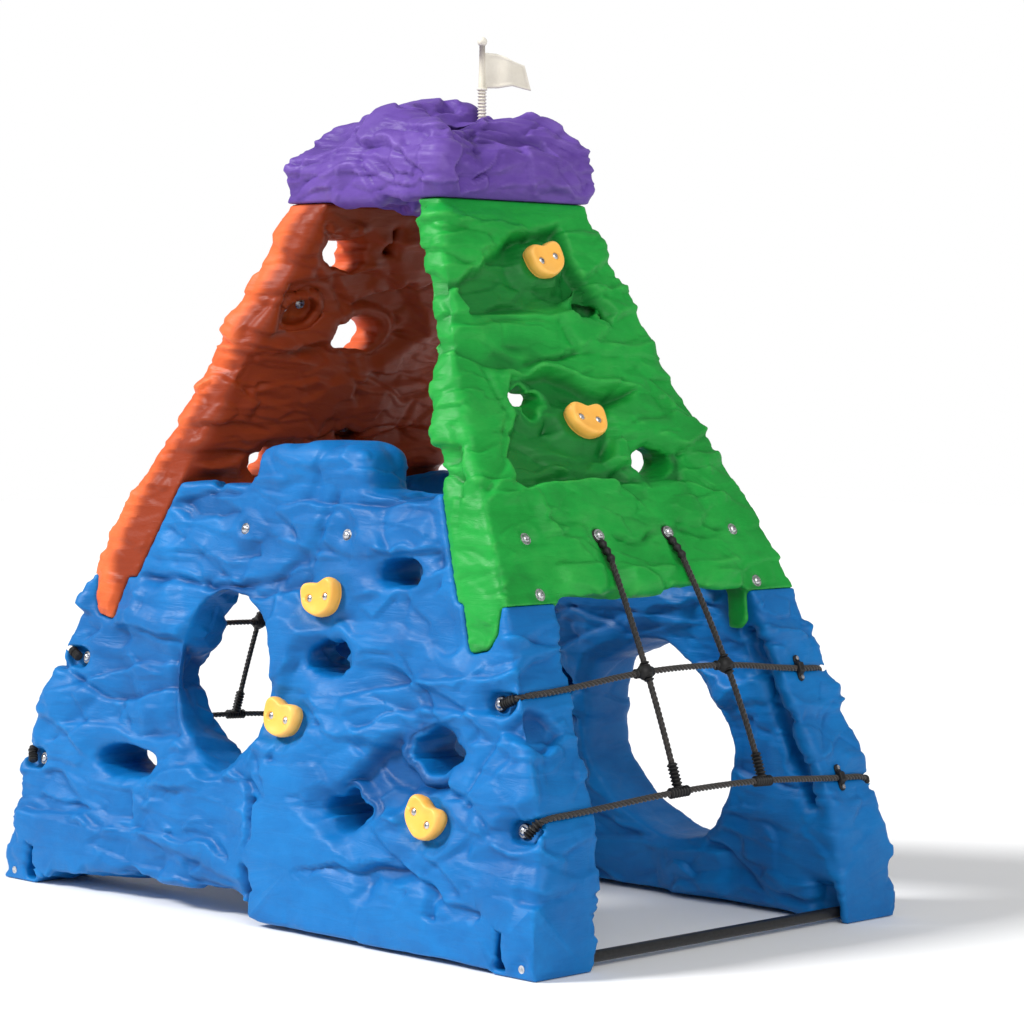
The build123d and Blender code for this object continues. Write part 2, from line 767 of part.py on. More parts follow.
def cap_bolt_axes(quarter):
    """Upright axes of an upper wall's two cap bolts, at the underside of its top web."""
    root, crest = roots[quarter]
    middle = (half_width(wall_top) + upper_inner(wall_top, root, crest)) / 2
    middle = half_width(wall_top) - min(cap_bolt_inset, half_width(wall_top) - middle)
    return [Plane(origin=(x, -middle, wall_top - crest_web)) for x in cap_bolt_spots[quarter]]


def cap_bolt_bay(axis):
    """Notch in the inner face that lets a cap bolt in from below."""
    height = cap_bolt_length - crest_web + 24.0
    middle = Vector(axis.origin.X, axis.origin.Y + 40.0, axis.origin.Z - height / 2)
    return Pos(middle) * Box(2 * bolt_well_radius - 6.0, 80.0 + 2 * bolt_well_radius, height)


def upper_wall(quarter, holes, pockets, holds):
    """Hollow upper wall in its own frame."""
    root, crest = roots[quarter]
    seats = wall_seats(half_width, holds)
    body = prism_along_y(upper_outline(), -base_half_width, 0.0)
    body = body & prism_along_x(upper_profile(root, crest, 0.0, joint_height, wall_top), base_half_depth)
    body = body - upper_cavity(quarter, holes, pockets, seats)
    cuts = [socket(1), socket(-1)]
    cuts += [oval_along_y(place, radii, -base_half_width, 0.0) for place, radii in holes]
    cuts += [pocket_cut(place, radii) for place, radii in pockets]
    cuts += hold_holes(seats)
    for hand in (1, -1):
        cuts.append(rod(hanger_plane(hand), bolt_well_radius, -bolt_well_depth - well_clearance, 20.0))
        cuts.append(rod(hanger_plane(hand), bolt_radius, -60.0, 1.0))
        cuts.append(hanger_notch(hand))
        for plane in post_bolt_planes(hand):
            cuts.append(rod(plane, bolt_well_radius, -bolt_well_depth, 20.0))
            cuts.append(rod(plane, bolt_radius + tube_gap, -30.0, 1.0))
    for axis in cap_bolt_axes(quarter):
        cuts.append(cap_bolt_bay(axis))
        cuts.append(rod(axis, bolt_radius + tube_gap, -1.0, crest_web + 1.0))
    body = cut_all(body, cuts)
    return body + turned(upper_tabs(quarter), -quarter % 4)


def cap_bolt_lug(axis):
    """Solid plastic round a cap bolt's notch, inside the upper wall."""
    height = cap_bolt_length + 2 * shell
    wide = 2 * bolt_well_radius + 2 * shell
    return Pos(axis.origin.X, axis.origin.Y, axis.origin.Z - height / 2 + shell) * Box(wide, 200.0, height)


def upper_tabs(quarter):
    """Tabs that lap an upper wall over the two lower walls, in the part's frame."""
    side = 1 if quarter == 1 else -1
    tabs = None
    for lower in (0, 2):
        hand = side if lower == 0 else -side
        outer = prism_along_y(outer_tab(hand), -base_half_depth, 0.0)
        outer = outer & prism_along_x(band(0.0, 0.0, 0.0, lump_top), base_half_width)
        outer = outer - prism_along_x(band(skin, 0.0, 0.0, lump_top), base_half_width)
        inner = prism_along_y(inner_tab(hand), -base_half_depth, 0.0)
        behind = [(-inner_depth(z) + lap_gap, z) for z in (0.0, lump_top)]
        behind += [(-inner_depth(z) + lap_gap + inner_tab_thickness, z) for z in (lump_top, 0.0)]
        inner = inner & prism_along_x(behind, base_half_width)
        pair = turned(outer + inner, lower)
        tabs = pair if tabs is None else tabs + pair
    return tabs


# ---------------------------------------------------------------- cap and flag

def cap_outline(half_size, share):
    """Half outline of the cap as (distance from middle, height) from its rim to its crown."""
    rim = half_size + cap_overhang
    return [
        (rim - 4.0, wall_top),
        (rim + 4.0, wall_top + 0.36 * cap_rise),
        (rim - 14.0, wall_top + 0.55 * cap_rise),
        (rim * 0.68, wall_top + 0.86 * cap_rise),
        (rim * share, wall_top + cap_rise),
    ]


def summit_cap():
    """Rock-shaped hollow cap with its bolt bosses and the flag's socket."""
    outlines = []
    for half_size, share in ((half_width(wall_top), 0.30), (half_depth(wall_top), 0.36)):
        right = cap_outline(half_size, share)
        outlines.append(right + [(-x, z) for x, z in reversed(right)])
    body = prism_along_y(outlines[0], -base_half_depth, base_half_depth)
    body = body & prism_along_x(outlines[1], base_half_width)
    crown = wall_top + cap_rise
    slope = [(flag_x + 34.0, crown + 5.0), (flag_x + 34.0, crown - flag_seat_drop)]
    slope += [(flag_x - 22.0, crown - flag_seat_drop), (flag_x - 60.0, crown + 5.0)]
    body = body - prism_along_y(slope, -base_half_depth, base_half_depth)
    inner = []
    for points in outlines:
        top = crown - flag_seat_drop - 2 * cap_shell
        inset = [(abs(x) - cap_shell, z) for x, z in points[:2]]
        inset.append((points[2][0] - 2 * cap_shell, points[2][1]))
        inset.append((points[3][0] - 3 * cap_shell, top))
        inset[0] = (inset[0][0], wall_top + cap_shell)
        inner.append(inset + [(-x, z) for x, z in reversed(inset)])
    hollow = prism_along_y(inner[0], -base_half_depth, base_half_depth)
    hollow = hollow & prism_along_x(inner[1], base_half_width)
    kept = [rod(flag_axis(), stem_radius + boss_wall, -stem_depth - 2 * cap_shell, 0.0)]
    for axis in all_cap_bolt_axes():
        kept.append(rod(axis, bolt_radius + boss_wall, 0.0, cap_bolt_length + 20.0))
    body = body - cut_all(hollow, kept)
    body = body - rod(flag_axis(), stem_radius + stem_gap, -stem_depth, 20.0)
    for axis in all_cap_bolt_axes():
        body = body - rod(axis, bolt_radius, crest_web - 1.0, cap_bolt_length + 3.0)
    return body


def all_cap_bolt_axes():
    """Axes of all four cap bolts in the part's frame."""
    axes = []
    for quarter in roots:
        for axis in cap_bolt_axes(quarter):
            place = Location((0, 0, 0), (0, 0, 90 * quarter))
            axes.append(Plane(place * axis.location))
    return axes


def flag_axis():
    """Upright axis of the flag at the top of its seat."""
    return Plane(origin=(flag_x, flag_y, wall_top + cap_rise - flag_seat_drop))


def flag():
    """Pole with a seat collar, ribbed sleeve, ring, ball and moulded flag sheet."""
    axis = flag_axis()
    stem = rod(axis, stem_radius, -stem_depth + 0.4, sleeve_height)
    collar = rod(axis, ring_radius, 0.3, 3.3)
    ring = rod(axis, ring_radius, sleeve_height, sleeve_height + 4.0)
    pole_low = sleeve_height + 4.0
    pole_high = pole_low + pole_height
    cone_plane = axis.offset(pole_low)
    taper = loft([cone_plane * Circle(stem_radius), cone_plane.offset(pole_height) * Circle(pole_radius)])
    ball = Pos(axis.from_local_coords((0, 0, pole_high + ball_radius * 0.8))) * Sphere(ball_radius)
    hoist = pole_high - 12.0
    outline = [
        (0.0, hoist), (flag_width * 0.42, hoist - 6.0), (flag_width * 0.62, hoist - flag_drop),
        (flag_width * 0.86, hoist - flag_drop - 8.0), (flag_width, hoist - flag_height - 4.0),
        (flag_width * 0.6, hoist - flag_height + 4.0), (0.0, hoist - flag_height),
    ]
    turn = Plane(origin=axis.origin, x_dir=(cos(radians(flag_turn)), sin(radians(flag_turn)), 0),
                 z_dir=(sin(radians(flag_turn)), -cos(radians(flag_turn)), 0))
    sheet = extrude(turn * make_face(Polyline([(x, z) for x, z in outline], close=True)),
                    amount=flag_thickness / 2, both=True)
    return stem + collar + ring + taper + ball + sheet


# ---------------------------------------------------------------- right-hand net

def anchor_world(level, hand):
    """Anchor bolt plane of the right-hand net on the front (-1) or back (+1) wall."""
    if hand < 0:
        return anchor_plane(level, 1)
    plane = anchor_plane(level, -1)
    return Plane(Location((0, 0, 0), (0, 0, 180)) * plane.location)


def rope_end(level, hand, start, toward):
    """Ferrule with its bolt eye at one end of a net rope that sets off toward a point."""
    plane = anchor_world(level, hand)
    length = ferrule_length - washer_radius
    return eye_and_barrel(plane, -anchor_well_depth, start, toward, ferrule_radius, length)


def hanger_end(hand):
    """Crimped eye at the top of a hanging rope."""
    points = hanger_points(hand)
    floor = -bolt_well_depth - well_clearance
    return eye_and_barrel(hanger_world(hand), floor, points[0], points[1], ferrule_radius - 1.5, 24.0)


def eye_and_barrel(plane, floor, start, toward, radius, length):
    """Flat eye round a bolt, joined by a short neck to a barrel on the rope's end."""
    eye = rod(plane, washer_radius + 1.5, floor, floor + eye_thickness)
    along = (toward - start).normalized()
    back = start - along * length
    barrel = rod(Plane(origin=back, z_dir=along), radius, 0.0, length)
    middle = plane.from_local_coords((0, 0, floor + eye_thickness / 2))
    link = back + along * radius - middle
    neck = rod(Plane(origin=middle, z_dir=link), eye_thickness / 2, 0.0, link.length)
    body = eye + barrel + neck
    body = body - rod(plane, washer_radius + 0.3, floor + eye_thickness, floor + 40.0)
    return body - rod(plane, bolt_radius, floor - 1.0, floor + 40.0)


def hanger_world(hand):
    return Plane(Location((0, 0, 0), (0, 0, 90)) * hanger_plane(hand).location)


def cross_connector(hand, ropes):
    """Ball connector where a hanging rope passes outside the upper rope."""
    spot = Vector(half_width(net_heights["upper"]) + net_proud["upper"],
                  hand * net_half_spacing["upper"], net_heights["upper"])
    middle = spot + net_outward() * (rope_stack / 2)
    collar = Plane(origin=spot - Vector(0, cross_collar_length / 2, 0), z_dir=(0, 1, 0))
    body = Pos(middle) * Sphere(cross_radius) + rod(collar, cross_collar_radius, 0.0, cross_collar_length)
    return cut_all(body, ropes)


def tee_connector(hand, ropes):
    """Ribbed tee that ends a hanging rope on the lower rope."""
    points = hanger_points(hand)
    spot = Vector(half_width(net_heights["lower"]) + net_proud["lower"],
                  hand * net_half_spacing["lower"], net_heights["lower"])
    arm = Plane(origin=spot - Vector(0, tee_arm / 2, 0), z_dir=(0, 1, 0))
    run = spot - points[-1]
    stem = rod(Plane(origin=points[-1], z_dir=points[-1] - points[-2]), tee_radius, 0.0, run.length)
    return cut_all(rod(arm, tee_radius, 0.0, tee_arm) + stem, ropes)


def clip_plane(level):
    """Plane of a rope clip on the back post's end face."""
    height = edge_heights[level]
    own = face_plane(half_width, inner_depth(height) + clip_inset, height)
    return Plane(Location((0, 0, 0), (0, 0, 90)) * own.location)


def rope_clip(level, tube):
    """Strap over a net rope, with two screw holes."""
    plane = clip_plane(level)
    outline = RectangleRounded(clip_width, clip_length, clip_width / 2 - 0.5)
    strap = extrude(plane * outline, amount=clip_thickness)
    hump = extrude(plane * Rectangle(clip_width, 4 * rope_radius), amount=rope_radius + clip_thickness + 2.0)
    body = strap + hump - tube
    for side in (-1, 1):
        body = body - rod(clip_screw_plane(plane, side), clip_screw_radius, -1.0, clip_thickness + 1.0)
    return body


def clip_screw_plane(plane, side):
    return Plane(origin=plane.from_local_coords((0, side * clip_screw_spacing / 2, 0)),
                 x_dir=plane.x_dir, z_dir=plane.z_dir)


def clip_screw(level, side):
    plane = clip_screw_plane(clip_plane(level), side)
    shank = rod(plane, clip_screw_radius, -10.0, clip_thickness)
    return shank + rod(plane, clip_screw_head, clip_thickness, clip_thickness + 2.2)


net_ropes = {}
net_grooves = []
for level in ("upper", "lower"):
    route = net_points(level)
    tube, path, bends = rope(route, rope_radius)
    net_ropes[level] = tube
    net_grooves.append(rope(route, rope_radius + groove_gap)[0])
    print(level, "rope bends", [round(bend, 1) for bend in bends], "length", round(path.length, 1),
          "volume share", round(tube.volume / (pi * rope_radius ** 2 * path.length), 4))
hangers = {}
for hand in (-1, 1):
    tube, path, bends = rope(hanger_points(hand), rope_radius)
    hangers[hand] = tube
    print("hanger bends", [round(bend, 1) for bend in bends], "length", round(path.length, 1),
          "volume share", round(tube.volume / (pi * rope_radius ** 2 * path.length), 4))

right_net = {}
for level, tube in net_ropes.items():
    right_net[level + "_rope"] = tube
ends = []
for level in net_ropes:
    route = net_points(level)
    ends += [rope_end(level, -1, route[0], route[1]), rope_end(level, 1, route[-1], route[-2])]
right_net["rope_ends"] = group(ends)
right_net["hanger_eyes"] = group(hanger_end(hand) for hand in (-1, 1))
for hand, place in ((-1, "front"), (1, "back")):
    right_net[place + "_hanger_rope"] = hangers[hand]
    right_net[place + "_cross"] = cross_connector(hand, [net_ropes["upper"], hangers[hand]])
    right_net[place + "_tee"] = tee_connector(hand, [net_ropes["lower"], hangers[hand]])
right_net["rope_clips"] = group(rope_clip(level, net_ropes[level]) for level in net_ropes)
for name, shape in right_net.items():
    save("right_" + name, shape)
    opposite = name.replace("front", "spare").replace("back", "front").replace("spare", "back")
    save("left_" + opposite, turned(shape, 2))

# ---------------------------------------------------------------- walls

def grooves_for(quarter):
    """Rope grooves in a lower wall's own frame, one net at each end."""
    near = [turned(wide, 0) for wide in net_grooves]
    far = [turned(wide, 2) for wide in net_grooves]
    pair = near + far
    return [turned(wide, 2) for wide in pair] if quarter == 2 else pair


def clip_screw_holes():
    """Screw holes of the rope clips, in the back wall's and the front wall's end faces."""
    holes = []
    for level in net_ropes:
        for side in (-1, 1):
            holes.append(rod(clip_screw_plane(clip_plane(level), side), clip_screw_radius, -11.0, 1.0))
    return holes


back_cut = [turned(hole, 2) for hole in clip_screw_holes()]
front_wall = lower_wall(0, front_holes, front_flares, front_holds, grooves_for(0) + back_cut)
save("front_wall", front_wall)
back_wall = lower_wall(2, back_holes, {}, back_holds, grooves_for(2) + back_cut)
save("back_wall", turned(back_wall, 2))
save("right_upper_wall", turned(upper_wall(1, right_holes, right_pockets, right_holds), 1))
save("left_upper_wall", turned(upper_wall(3, left_holes, left_pockets, left_holds), 3))
save("summit_cap", summit_cap())
save("flag", flag())

# ---------------------------------------------------------------- handholds

hold_layouts = [
    ("front", 0, half_depth, front_holds), ("right", 1, half_width, right_holds),
    ("back", 2, half_depth, back_holds), ("left", 3, half_width, left_holds),
]
hold_bolts = []
hold_nuts = []
for side, quarter, half_size, holds in hold_layouts:
    for number, seat in enumerate(wall_seats(half_size, holds), start=1):
        save(side + "_handhold_" + str(number), turned(hold_on(seat), quarter))
        for axis in hold_bolt_places(seat):
            hold_bolts.append(turned(hold_bolt(axis), quarter))
            hold_nuts.append(turned(hold_nut(axis), quarter))
save("handhold_bolts", group(hold_bolts))
save("handhold_nuts", group(hold_nuts))

# ---------------------------------------------------------------- bolts

corner_bolts = []
corner_washers = []
hanger_bolts = []
hanger_washers = []
for quarter in (1, 3):
    for hand in (1, -1):
        for plane in post_bolt_planes(hand):
            corner_bolts.append(turned(bolt(plane, corner_bolt_length, bolt_well_depth), quarter))
            corner_washers.append(turned(washer(plane, bolt_well_depth), quarter))
        over_eye = bolt_well_depth + well_clearance - eye_thickness
        hanger_bolts.append(turned(bolt(hanger_plane(hand), panel_bolt_length, over_eye), quarter))
        hanger_washers.append(turned(washer(hanger_plane(hand), over_eye), quarter))
save("corner_bolts", group(corner_bolts))
save("corner_washers", group(corner_washers))
save("hanger_bolts", group(hanger_bolts))
save("hanger_washers", group(hanger_washers))

anchor_bolts = []
anchor_washers = []
panel_bolts = []
panel_washers = []
panel_nuts = []
for quarter in (0, 2):
    for hand in (1, -1):
        for level in anchor_heights:
            over_eye = anchor_well_depth - eye_thickness
            plane = anchor_plane(level, hand)
            anchor_bolts.append(turned(bolt(plane, panel_bolt_length, over_eye), quarter))
            anchor_washers.append(turned(washer(plane, over_eye), quarter))
    for x, z in panel_bolt_spots:
        plane = face_plane(half_depth, x, z)
        nut_seat = -panel_nut_seat
        panel_bolts.append(turned(bolt(plane, panel_bolt_length, bolt_well_depth), quarter))
        panel_washers.append(turned(washer(plane, bolt_well_depth), quarter))
        hexagon = plane.offset(nut_seat) * RegularPolygon(panel_nut_radius, 6)
        nut = extrude(hexagon, amount=-panel_nut_height)
        panel_nuts.append(turned(nut - rod(plane, bolt_radius, nut_seat - 20.0, 0.0), quarter))
save("anchor_bolts", group(anchor_bolts))
save("anchor_washers", group(anchor_washers))
save("panel_bolts", group(panel_bolts))
save("panel_washers", group(panel_washers))
save("panel_nuts", group(panel_nuts))

cap_bolts = []
for axis in all_cap_bolt_axes():
    shank = rod(axis, bolt_radius, 0.0, cap_bolt_length)
    cap_bolts.append(shank + rod(axis, bolt_head_radius, -bolt_head_height, 0.0))
save("cap_bolts", group(cap_bolts))

clip_screws = [clip_screw(level, side) for level in net_ropes for side in (-1, 1)]
save("clip_screws", group(clip_screws + [turned(screw, 2) for screw in clip_screws]))

# ---------------------------------------------------------------- floor tubes

def floor_tube(hand):
    half = base_half_depth - tube_stop
    plane = Plane(origin=(hand * (base_half_width - tube_inset), -half, tube_height), z_dir=(0, 1, 0))
    return rod(plane, tube_radius, 0.0, 2 * half) - rod(plane, tube_radius - tube_wall, -1.0, 2 * half + 1.0)


save("right_floor_tube", floor_tube(1))
save("left_floor_tube", floor_tube(-1))
inserts = []
foot_screws = []
for hand_x in (-1, 1):
    for hand_y in (-1, 1):
        spot = (hand_x * (base_half_width - tube_inset), hand_y * (base_half_depth - tube_stop), tube_height)
        plane = Plane(origin=spot, z_dir=(0, hand_y, 0))
        inserts.append(rod(plane, tube_radius - tube_wall, -insert_length, 0.0)
                       - rod(plane, foot_screw_radius, -insert_length - 1.0, 1.0))
        seat = tube_stop - foot_screw_head_height - foot_screw_sink
        screw = rod(plane, foot_screw_radius, -insert_length + 6.0, seat)
        foot_screws.append(screw + rod(plane, foot_screw_head, seat, seat + foot_screw_head_height))
save("tube_inserts", group(inserts))
save("foot_screws", group(foot_screws))
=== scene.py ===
import math
import bmesh
import bpy
import numpy as np
from mathutils import Matrix, Vector
from mathutils.kdtree import KDTree


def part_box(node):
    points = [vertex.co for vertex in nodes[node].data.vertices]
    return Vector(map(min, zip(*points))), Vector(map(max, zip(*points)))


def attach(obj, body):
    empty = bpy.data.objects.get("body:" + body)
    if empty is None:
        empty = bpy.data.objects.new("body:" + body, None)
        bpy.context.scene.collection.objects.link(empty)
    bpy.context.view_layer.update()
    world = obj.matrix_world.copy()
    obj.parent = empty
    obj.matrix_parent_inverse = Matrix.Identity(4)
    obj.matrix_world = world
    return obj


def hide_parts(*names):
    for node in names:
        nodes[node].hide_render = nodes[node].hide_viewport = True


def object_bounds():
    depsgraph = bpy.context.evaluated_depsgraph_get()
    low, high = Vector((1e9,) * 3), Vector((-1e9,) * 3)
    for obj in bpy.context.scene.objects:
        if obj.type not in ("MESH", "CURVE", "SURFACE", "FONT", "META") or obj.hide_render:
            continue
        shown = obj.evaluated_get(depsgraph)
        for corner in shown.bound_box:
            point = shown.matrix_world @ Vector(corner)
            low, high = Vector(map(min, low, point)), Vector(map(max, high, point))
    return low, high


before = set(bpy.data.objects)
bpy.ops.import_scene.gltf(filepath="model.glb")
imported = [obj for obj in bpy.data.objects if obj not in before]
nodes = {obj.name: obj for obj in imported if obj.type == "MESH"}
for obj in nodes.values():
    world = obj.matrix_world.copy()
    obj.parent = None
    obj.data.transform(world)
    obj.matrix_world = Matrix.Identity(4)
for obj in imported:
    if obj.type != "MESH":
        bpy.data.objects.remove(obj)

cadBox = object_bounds()      # bounds of the CAD model, which the carved mouldings are clipped to
bpy.context.scene.view_settings.view_transform = "Standard"
print("frame loaded:", len(nodes), "nodes")

# camera

cameraSpot = {"place": (4.0671, -3.8228, 0.9360), "turn": 45.393, "dip": 2.58, "roll": 0.283, "lens": 110.8}


def makeCamera(spot):
    turn, dip, roll = (math.radians(spot[k]) for k in ("turn", "dip", "roll"))
    back = Vector((math.sin(turn) * math.cos(dip), -math.cos(turn) * math.cos(dip), math.sin(dip)))
    level = Vector((math.cos(turn), math.sin(turn), 0))
    rise = back.cross(level)
    right = level * math.cos(roll) + rise * math.sin(roll)
    up = rise * math.cos(roll) - level * math.sin(roll)
    cam = bpy.data.objects.new("camera", bpy.data.cameras.new("camera"))
    cam.data.lens = spot["lens"]
    cam.data.sensor_width = 36
    cam.data.clip_end = 60
    cam.matrix_world = Matrix.Translation(spot["place"]) @ Matrix((right, up, back)).transposed().to_4x4()
    bpy.context.collection.objects.link(cam)
    bpy.context.scene.camera = cam


makeCamera(cameraSpot)

# mesh helpers


def meshFrom(name, points, faces, smooth=True):
    mesh = bpy.data.meshes.new(name)
    mesh.from_pydata([tuple(p) for p in points], [], faces)
    mesh.validate()
    mesh.shade_smooth() if smooth else mesh.shade_flat()
    return mesh


def addObject(name, mesh):
    obj = bpy.data.objects.new(name, mesh)
    bpy.context.collection.objects.link(obj)
    return obj


def finishPiece(obj, body, material=None, stands=()):
    if material:
        obj.data.materials.clear()
        obj.data.materials.append(material)
    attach(obj, body)
    if stands:
        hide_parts(*stands)
    return obj


def pointsOf(mesh):
    co = np.empty(len(mesh.vertices) * 3)
    mesh.vertices.foreach_get("co", co)
    return co.reshape(-1, 3)


def outward(mesh):
    bm = bmesh.new()
    bm.from_mesh(mesh)
    bmesh.ops.remove_doubles(bm, verts=bm.verts, dist=1e-6)
    bmesh.ops.recalc_face_normals(bm, faces=bm.faces)
    bm.to_mesh(mesh)
    bm.free()
    return mesh


def solidsOf(node):
    # every solid of a CAD node as its own bmesh, merged from the loose triangles
    bm = bmesh.new()
    bm.from_mesh(nodes[node].data)
    bmesh.ops.remove_doubles(bm, verts=bm.verts, dist=2e-5)
    bm.verts.ensure_lookup_table()
    seen, solids = set(), []
    for start in bm.verts:
        if start.index in seen or not start.link_faces:
            continue
        seen.add(start.index)
        stack, island = [start], []
        while stack:
            v = stack.pop()
            island.append(v)
            for e in v.link_edges:
                o = e.other_vert(v)
                if o.index not in seen:
                    seen.add(o.index)
                    stack.append(o)
        number = {v.index: i for i, v in enumerate(island)}
        faces = {f for v in island for f in v.link_faces}
        solids.append((np.array([v.co[:] for v in island]),
            [[number[v.index] for v in f.verts] for f in faces]))
    bm.free()
    return solids


def joined(name, parts):
    # one mesh from several (points, faces) pairs
    allPoints, allFaces, base = [], [], 0
    for pts, faces in parts:
        allPoints.extend(pts)
        allFaces.extend([[i + base for i in f] for f in faces])
        base += len(pts)
    return meshFrom(name, allPoints, allFaces)


def bridged(rings, count):
    # faces between neighbouring rings of points; a ring of one point is a pole
    faces = []
    for low, high in zip(rings, rings[1:]):
        for i in range(count):
            j = (i + 1) % count
            if len(low) == 1:
                faces.append((low[0], high[j], high[i]))
            elif len(high) == 1:
                faces.append((low[i], low[j], high[0]))
            else:
                faces.append((low[i], low[j], high[j], high[i]))
    return faces


def lathe(profile, count=24):
    # profile of (radius, height) from one pole to the other
    pts, rings = [], []
    for radius, height in profile:
        if radius == 0:
            rings.append([len(pts)])
            pts.append((0, 0, height))
            continue
        ring = []
        for i in range(count):
            a = 2 * math.pi * i / count
            ring.append(len(pts))
            pts.append((radius * math.cos(a), radius * math.sin(a), height))
        rings.append(ring)
    return pts, bridged(rings, count)


# smooth numpy noise for relief


def latticeValue(cell, seed, channel=0):
    x, y, z = (cell[..., i].astype(np.int64) for i in range(3))
    h = (x * 73856093) ^ (y * 19349663) ^ (z * 83492791) ^ (seed * 2654435 + channel * 97531)
    h = (h ^ (h >> 13)) * 1274126177 & 0x7fffffff
    h = (h ^ (h >> 15)) & 0xffff
    return h / 32767.5 - 1.0


def softNoise(p, seed):
    cell = np.floor(p)
    f = p - cell
    f = f * f * f * (f * (f * 6 - 15) + 10)
    total = np.zeros(len(p))
    for dx in (0, 1):
        for dy in (0, 1):
            for dz in (0, 1):
                w = f[:, 0] if dx else 1 - f[:, 0]
                w = w * (f[:, 1] if dy else 1 - f[:, 1])
                w = w * (f[:, 2] if dz else 1 - f[:, 2])
                total += w * latticeValue(cell + np.array((dx, dy, dz)), seed)
    return total


def warped(p, reach, size, seed):
    q = p / size
    return p + reach * np.stack([softNoise(q, seed + i) for i in range(3)], axis=1)


def slabs(p, size, stretch, soft, tilt, seed):
    # tilted plates in jittered cells: height of the plate under each point, and how near its border is
    q = p / (size * np.array(stretch))
    cell = np.floor(q)
    dist, plate = [], []
    for dx in (-1, 0, 1):
        for dy in (-1, 0, 1):
            for dz in (-1, 0, 1):
                c = cell + np.array((dx, dy, dz))
                jitter = np.stack([latticeValue(c, seed, k) for k in range(3)], axis=1)
                d = q - (c + 0.5 + 0.46 * jitter)
                lean = np.stack([latticeValue(c, seed, k) for k in (4, 5, 6)], axis=1)
                dist.append(np.sqrt((d * d).sum(1)))
                plate.append(latticeValue(c, seed, 7) + tilt * (d * lean).sum(1))
    dist, plate = np.array(dist), np.array(plate)
    near = np.sort(dist, axis=0)[:2]
    w = np.exp(-soft * (dist - near[0]))
    return (w * plate).sum(0) / w.sum(0), near[1] - near[0]

# procedural finishes


def newMaterial(name):
    mat = bpy.data.materials.new(name)
    mat.use_nodes = True
    tree = mat.node_tree
    return mat, tree, tree.nodes["Principled BSDF"]


def linear(rgb):
    return [((c / 255 + 0.055) / 1.055) ** 2.4 if c > 10 else c / 255 / 12.92 for c in rgb] + [1]


def node(tree, kind, **values):
    made = tree.nodes.new(kind)
    for key, value in values.items():
        if hasattr(made, key) and key not in made.inputs:
            setattr(made, key, value)
        else:
            made.inputs[key.replace("_", " ")].default_value = value
    return made


def ramp(tree, source, stops):
    made = tree.nodes.new("ShaderNodeValToRGB")
    band = made.color_ramp
    while len(band.elements) < len(stops):
        band.elements.new(0.5)
    for element, (place, colour) in zip(band.elements, stops):
        element.position, element.color = place, colour
    tree.links.new(source, made.inputs[0])
    return made.outputs[0]


def span(tree, source, low, high, fromLow=0.0, fromHigh=1.0):
    made = node(tree, "ShaderNodeMapRange", From_Min=fromLow, From_Max=fromHigh, To_Min=low, To_Max=high)
    tree.links.new(source, made.inputs[0])
    return made.outputs[0]


def blendColours(tree, share, first, second, how="MIX"):
    mix = tree.nodes.new("ShaderNodeMix")
    mix.data_type, mix.blend_type = "RGBA", how
    for socket, value in ((mix.inputs[0], share), (mix.inputs[6], first), (mix.inputs[7], second)):
        if isinstance(value, (float, int, list, tuple)):
            socket.default_value = value
        else:
            tree.links.new(value, socket)
    return mix.outputs[2]


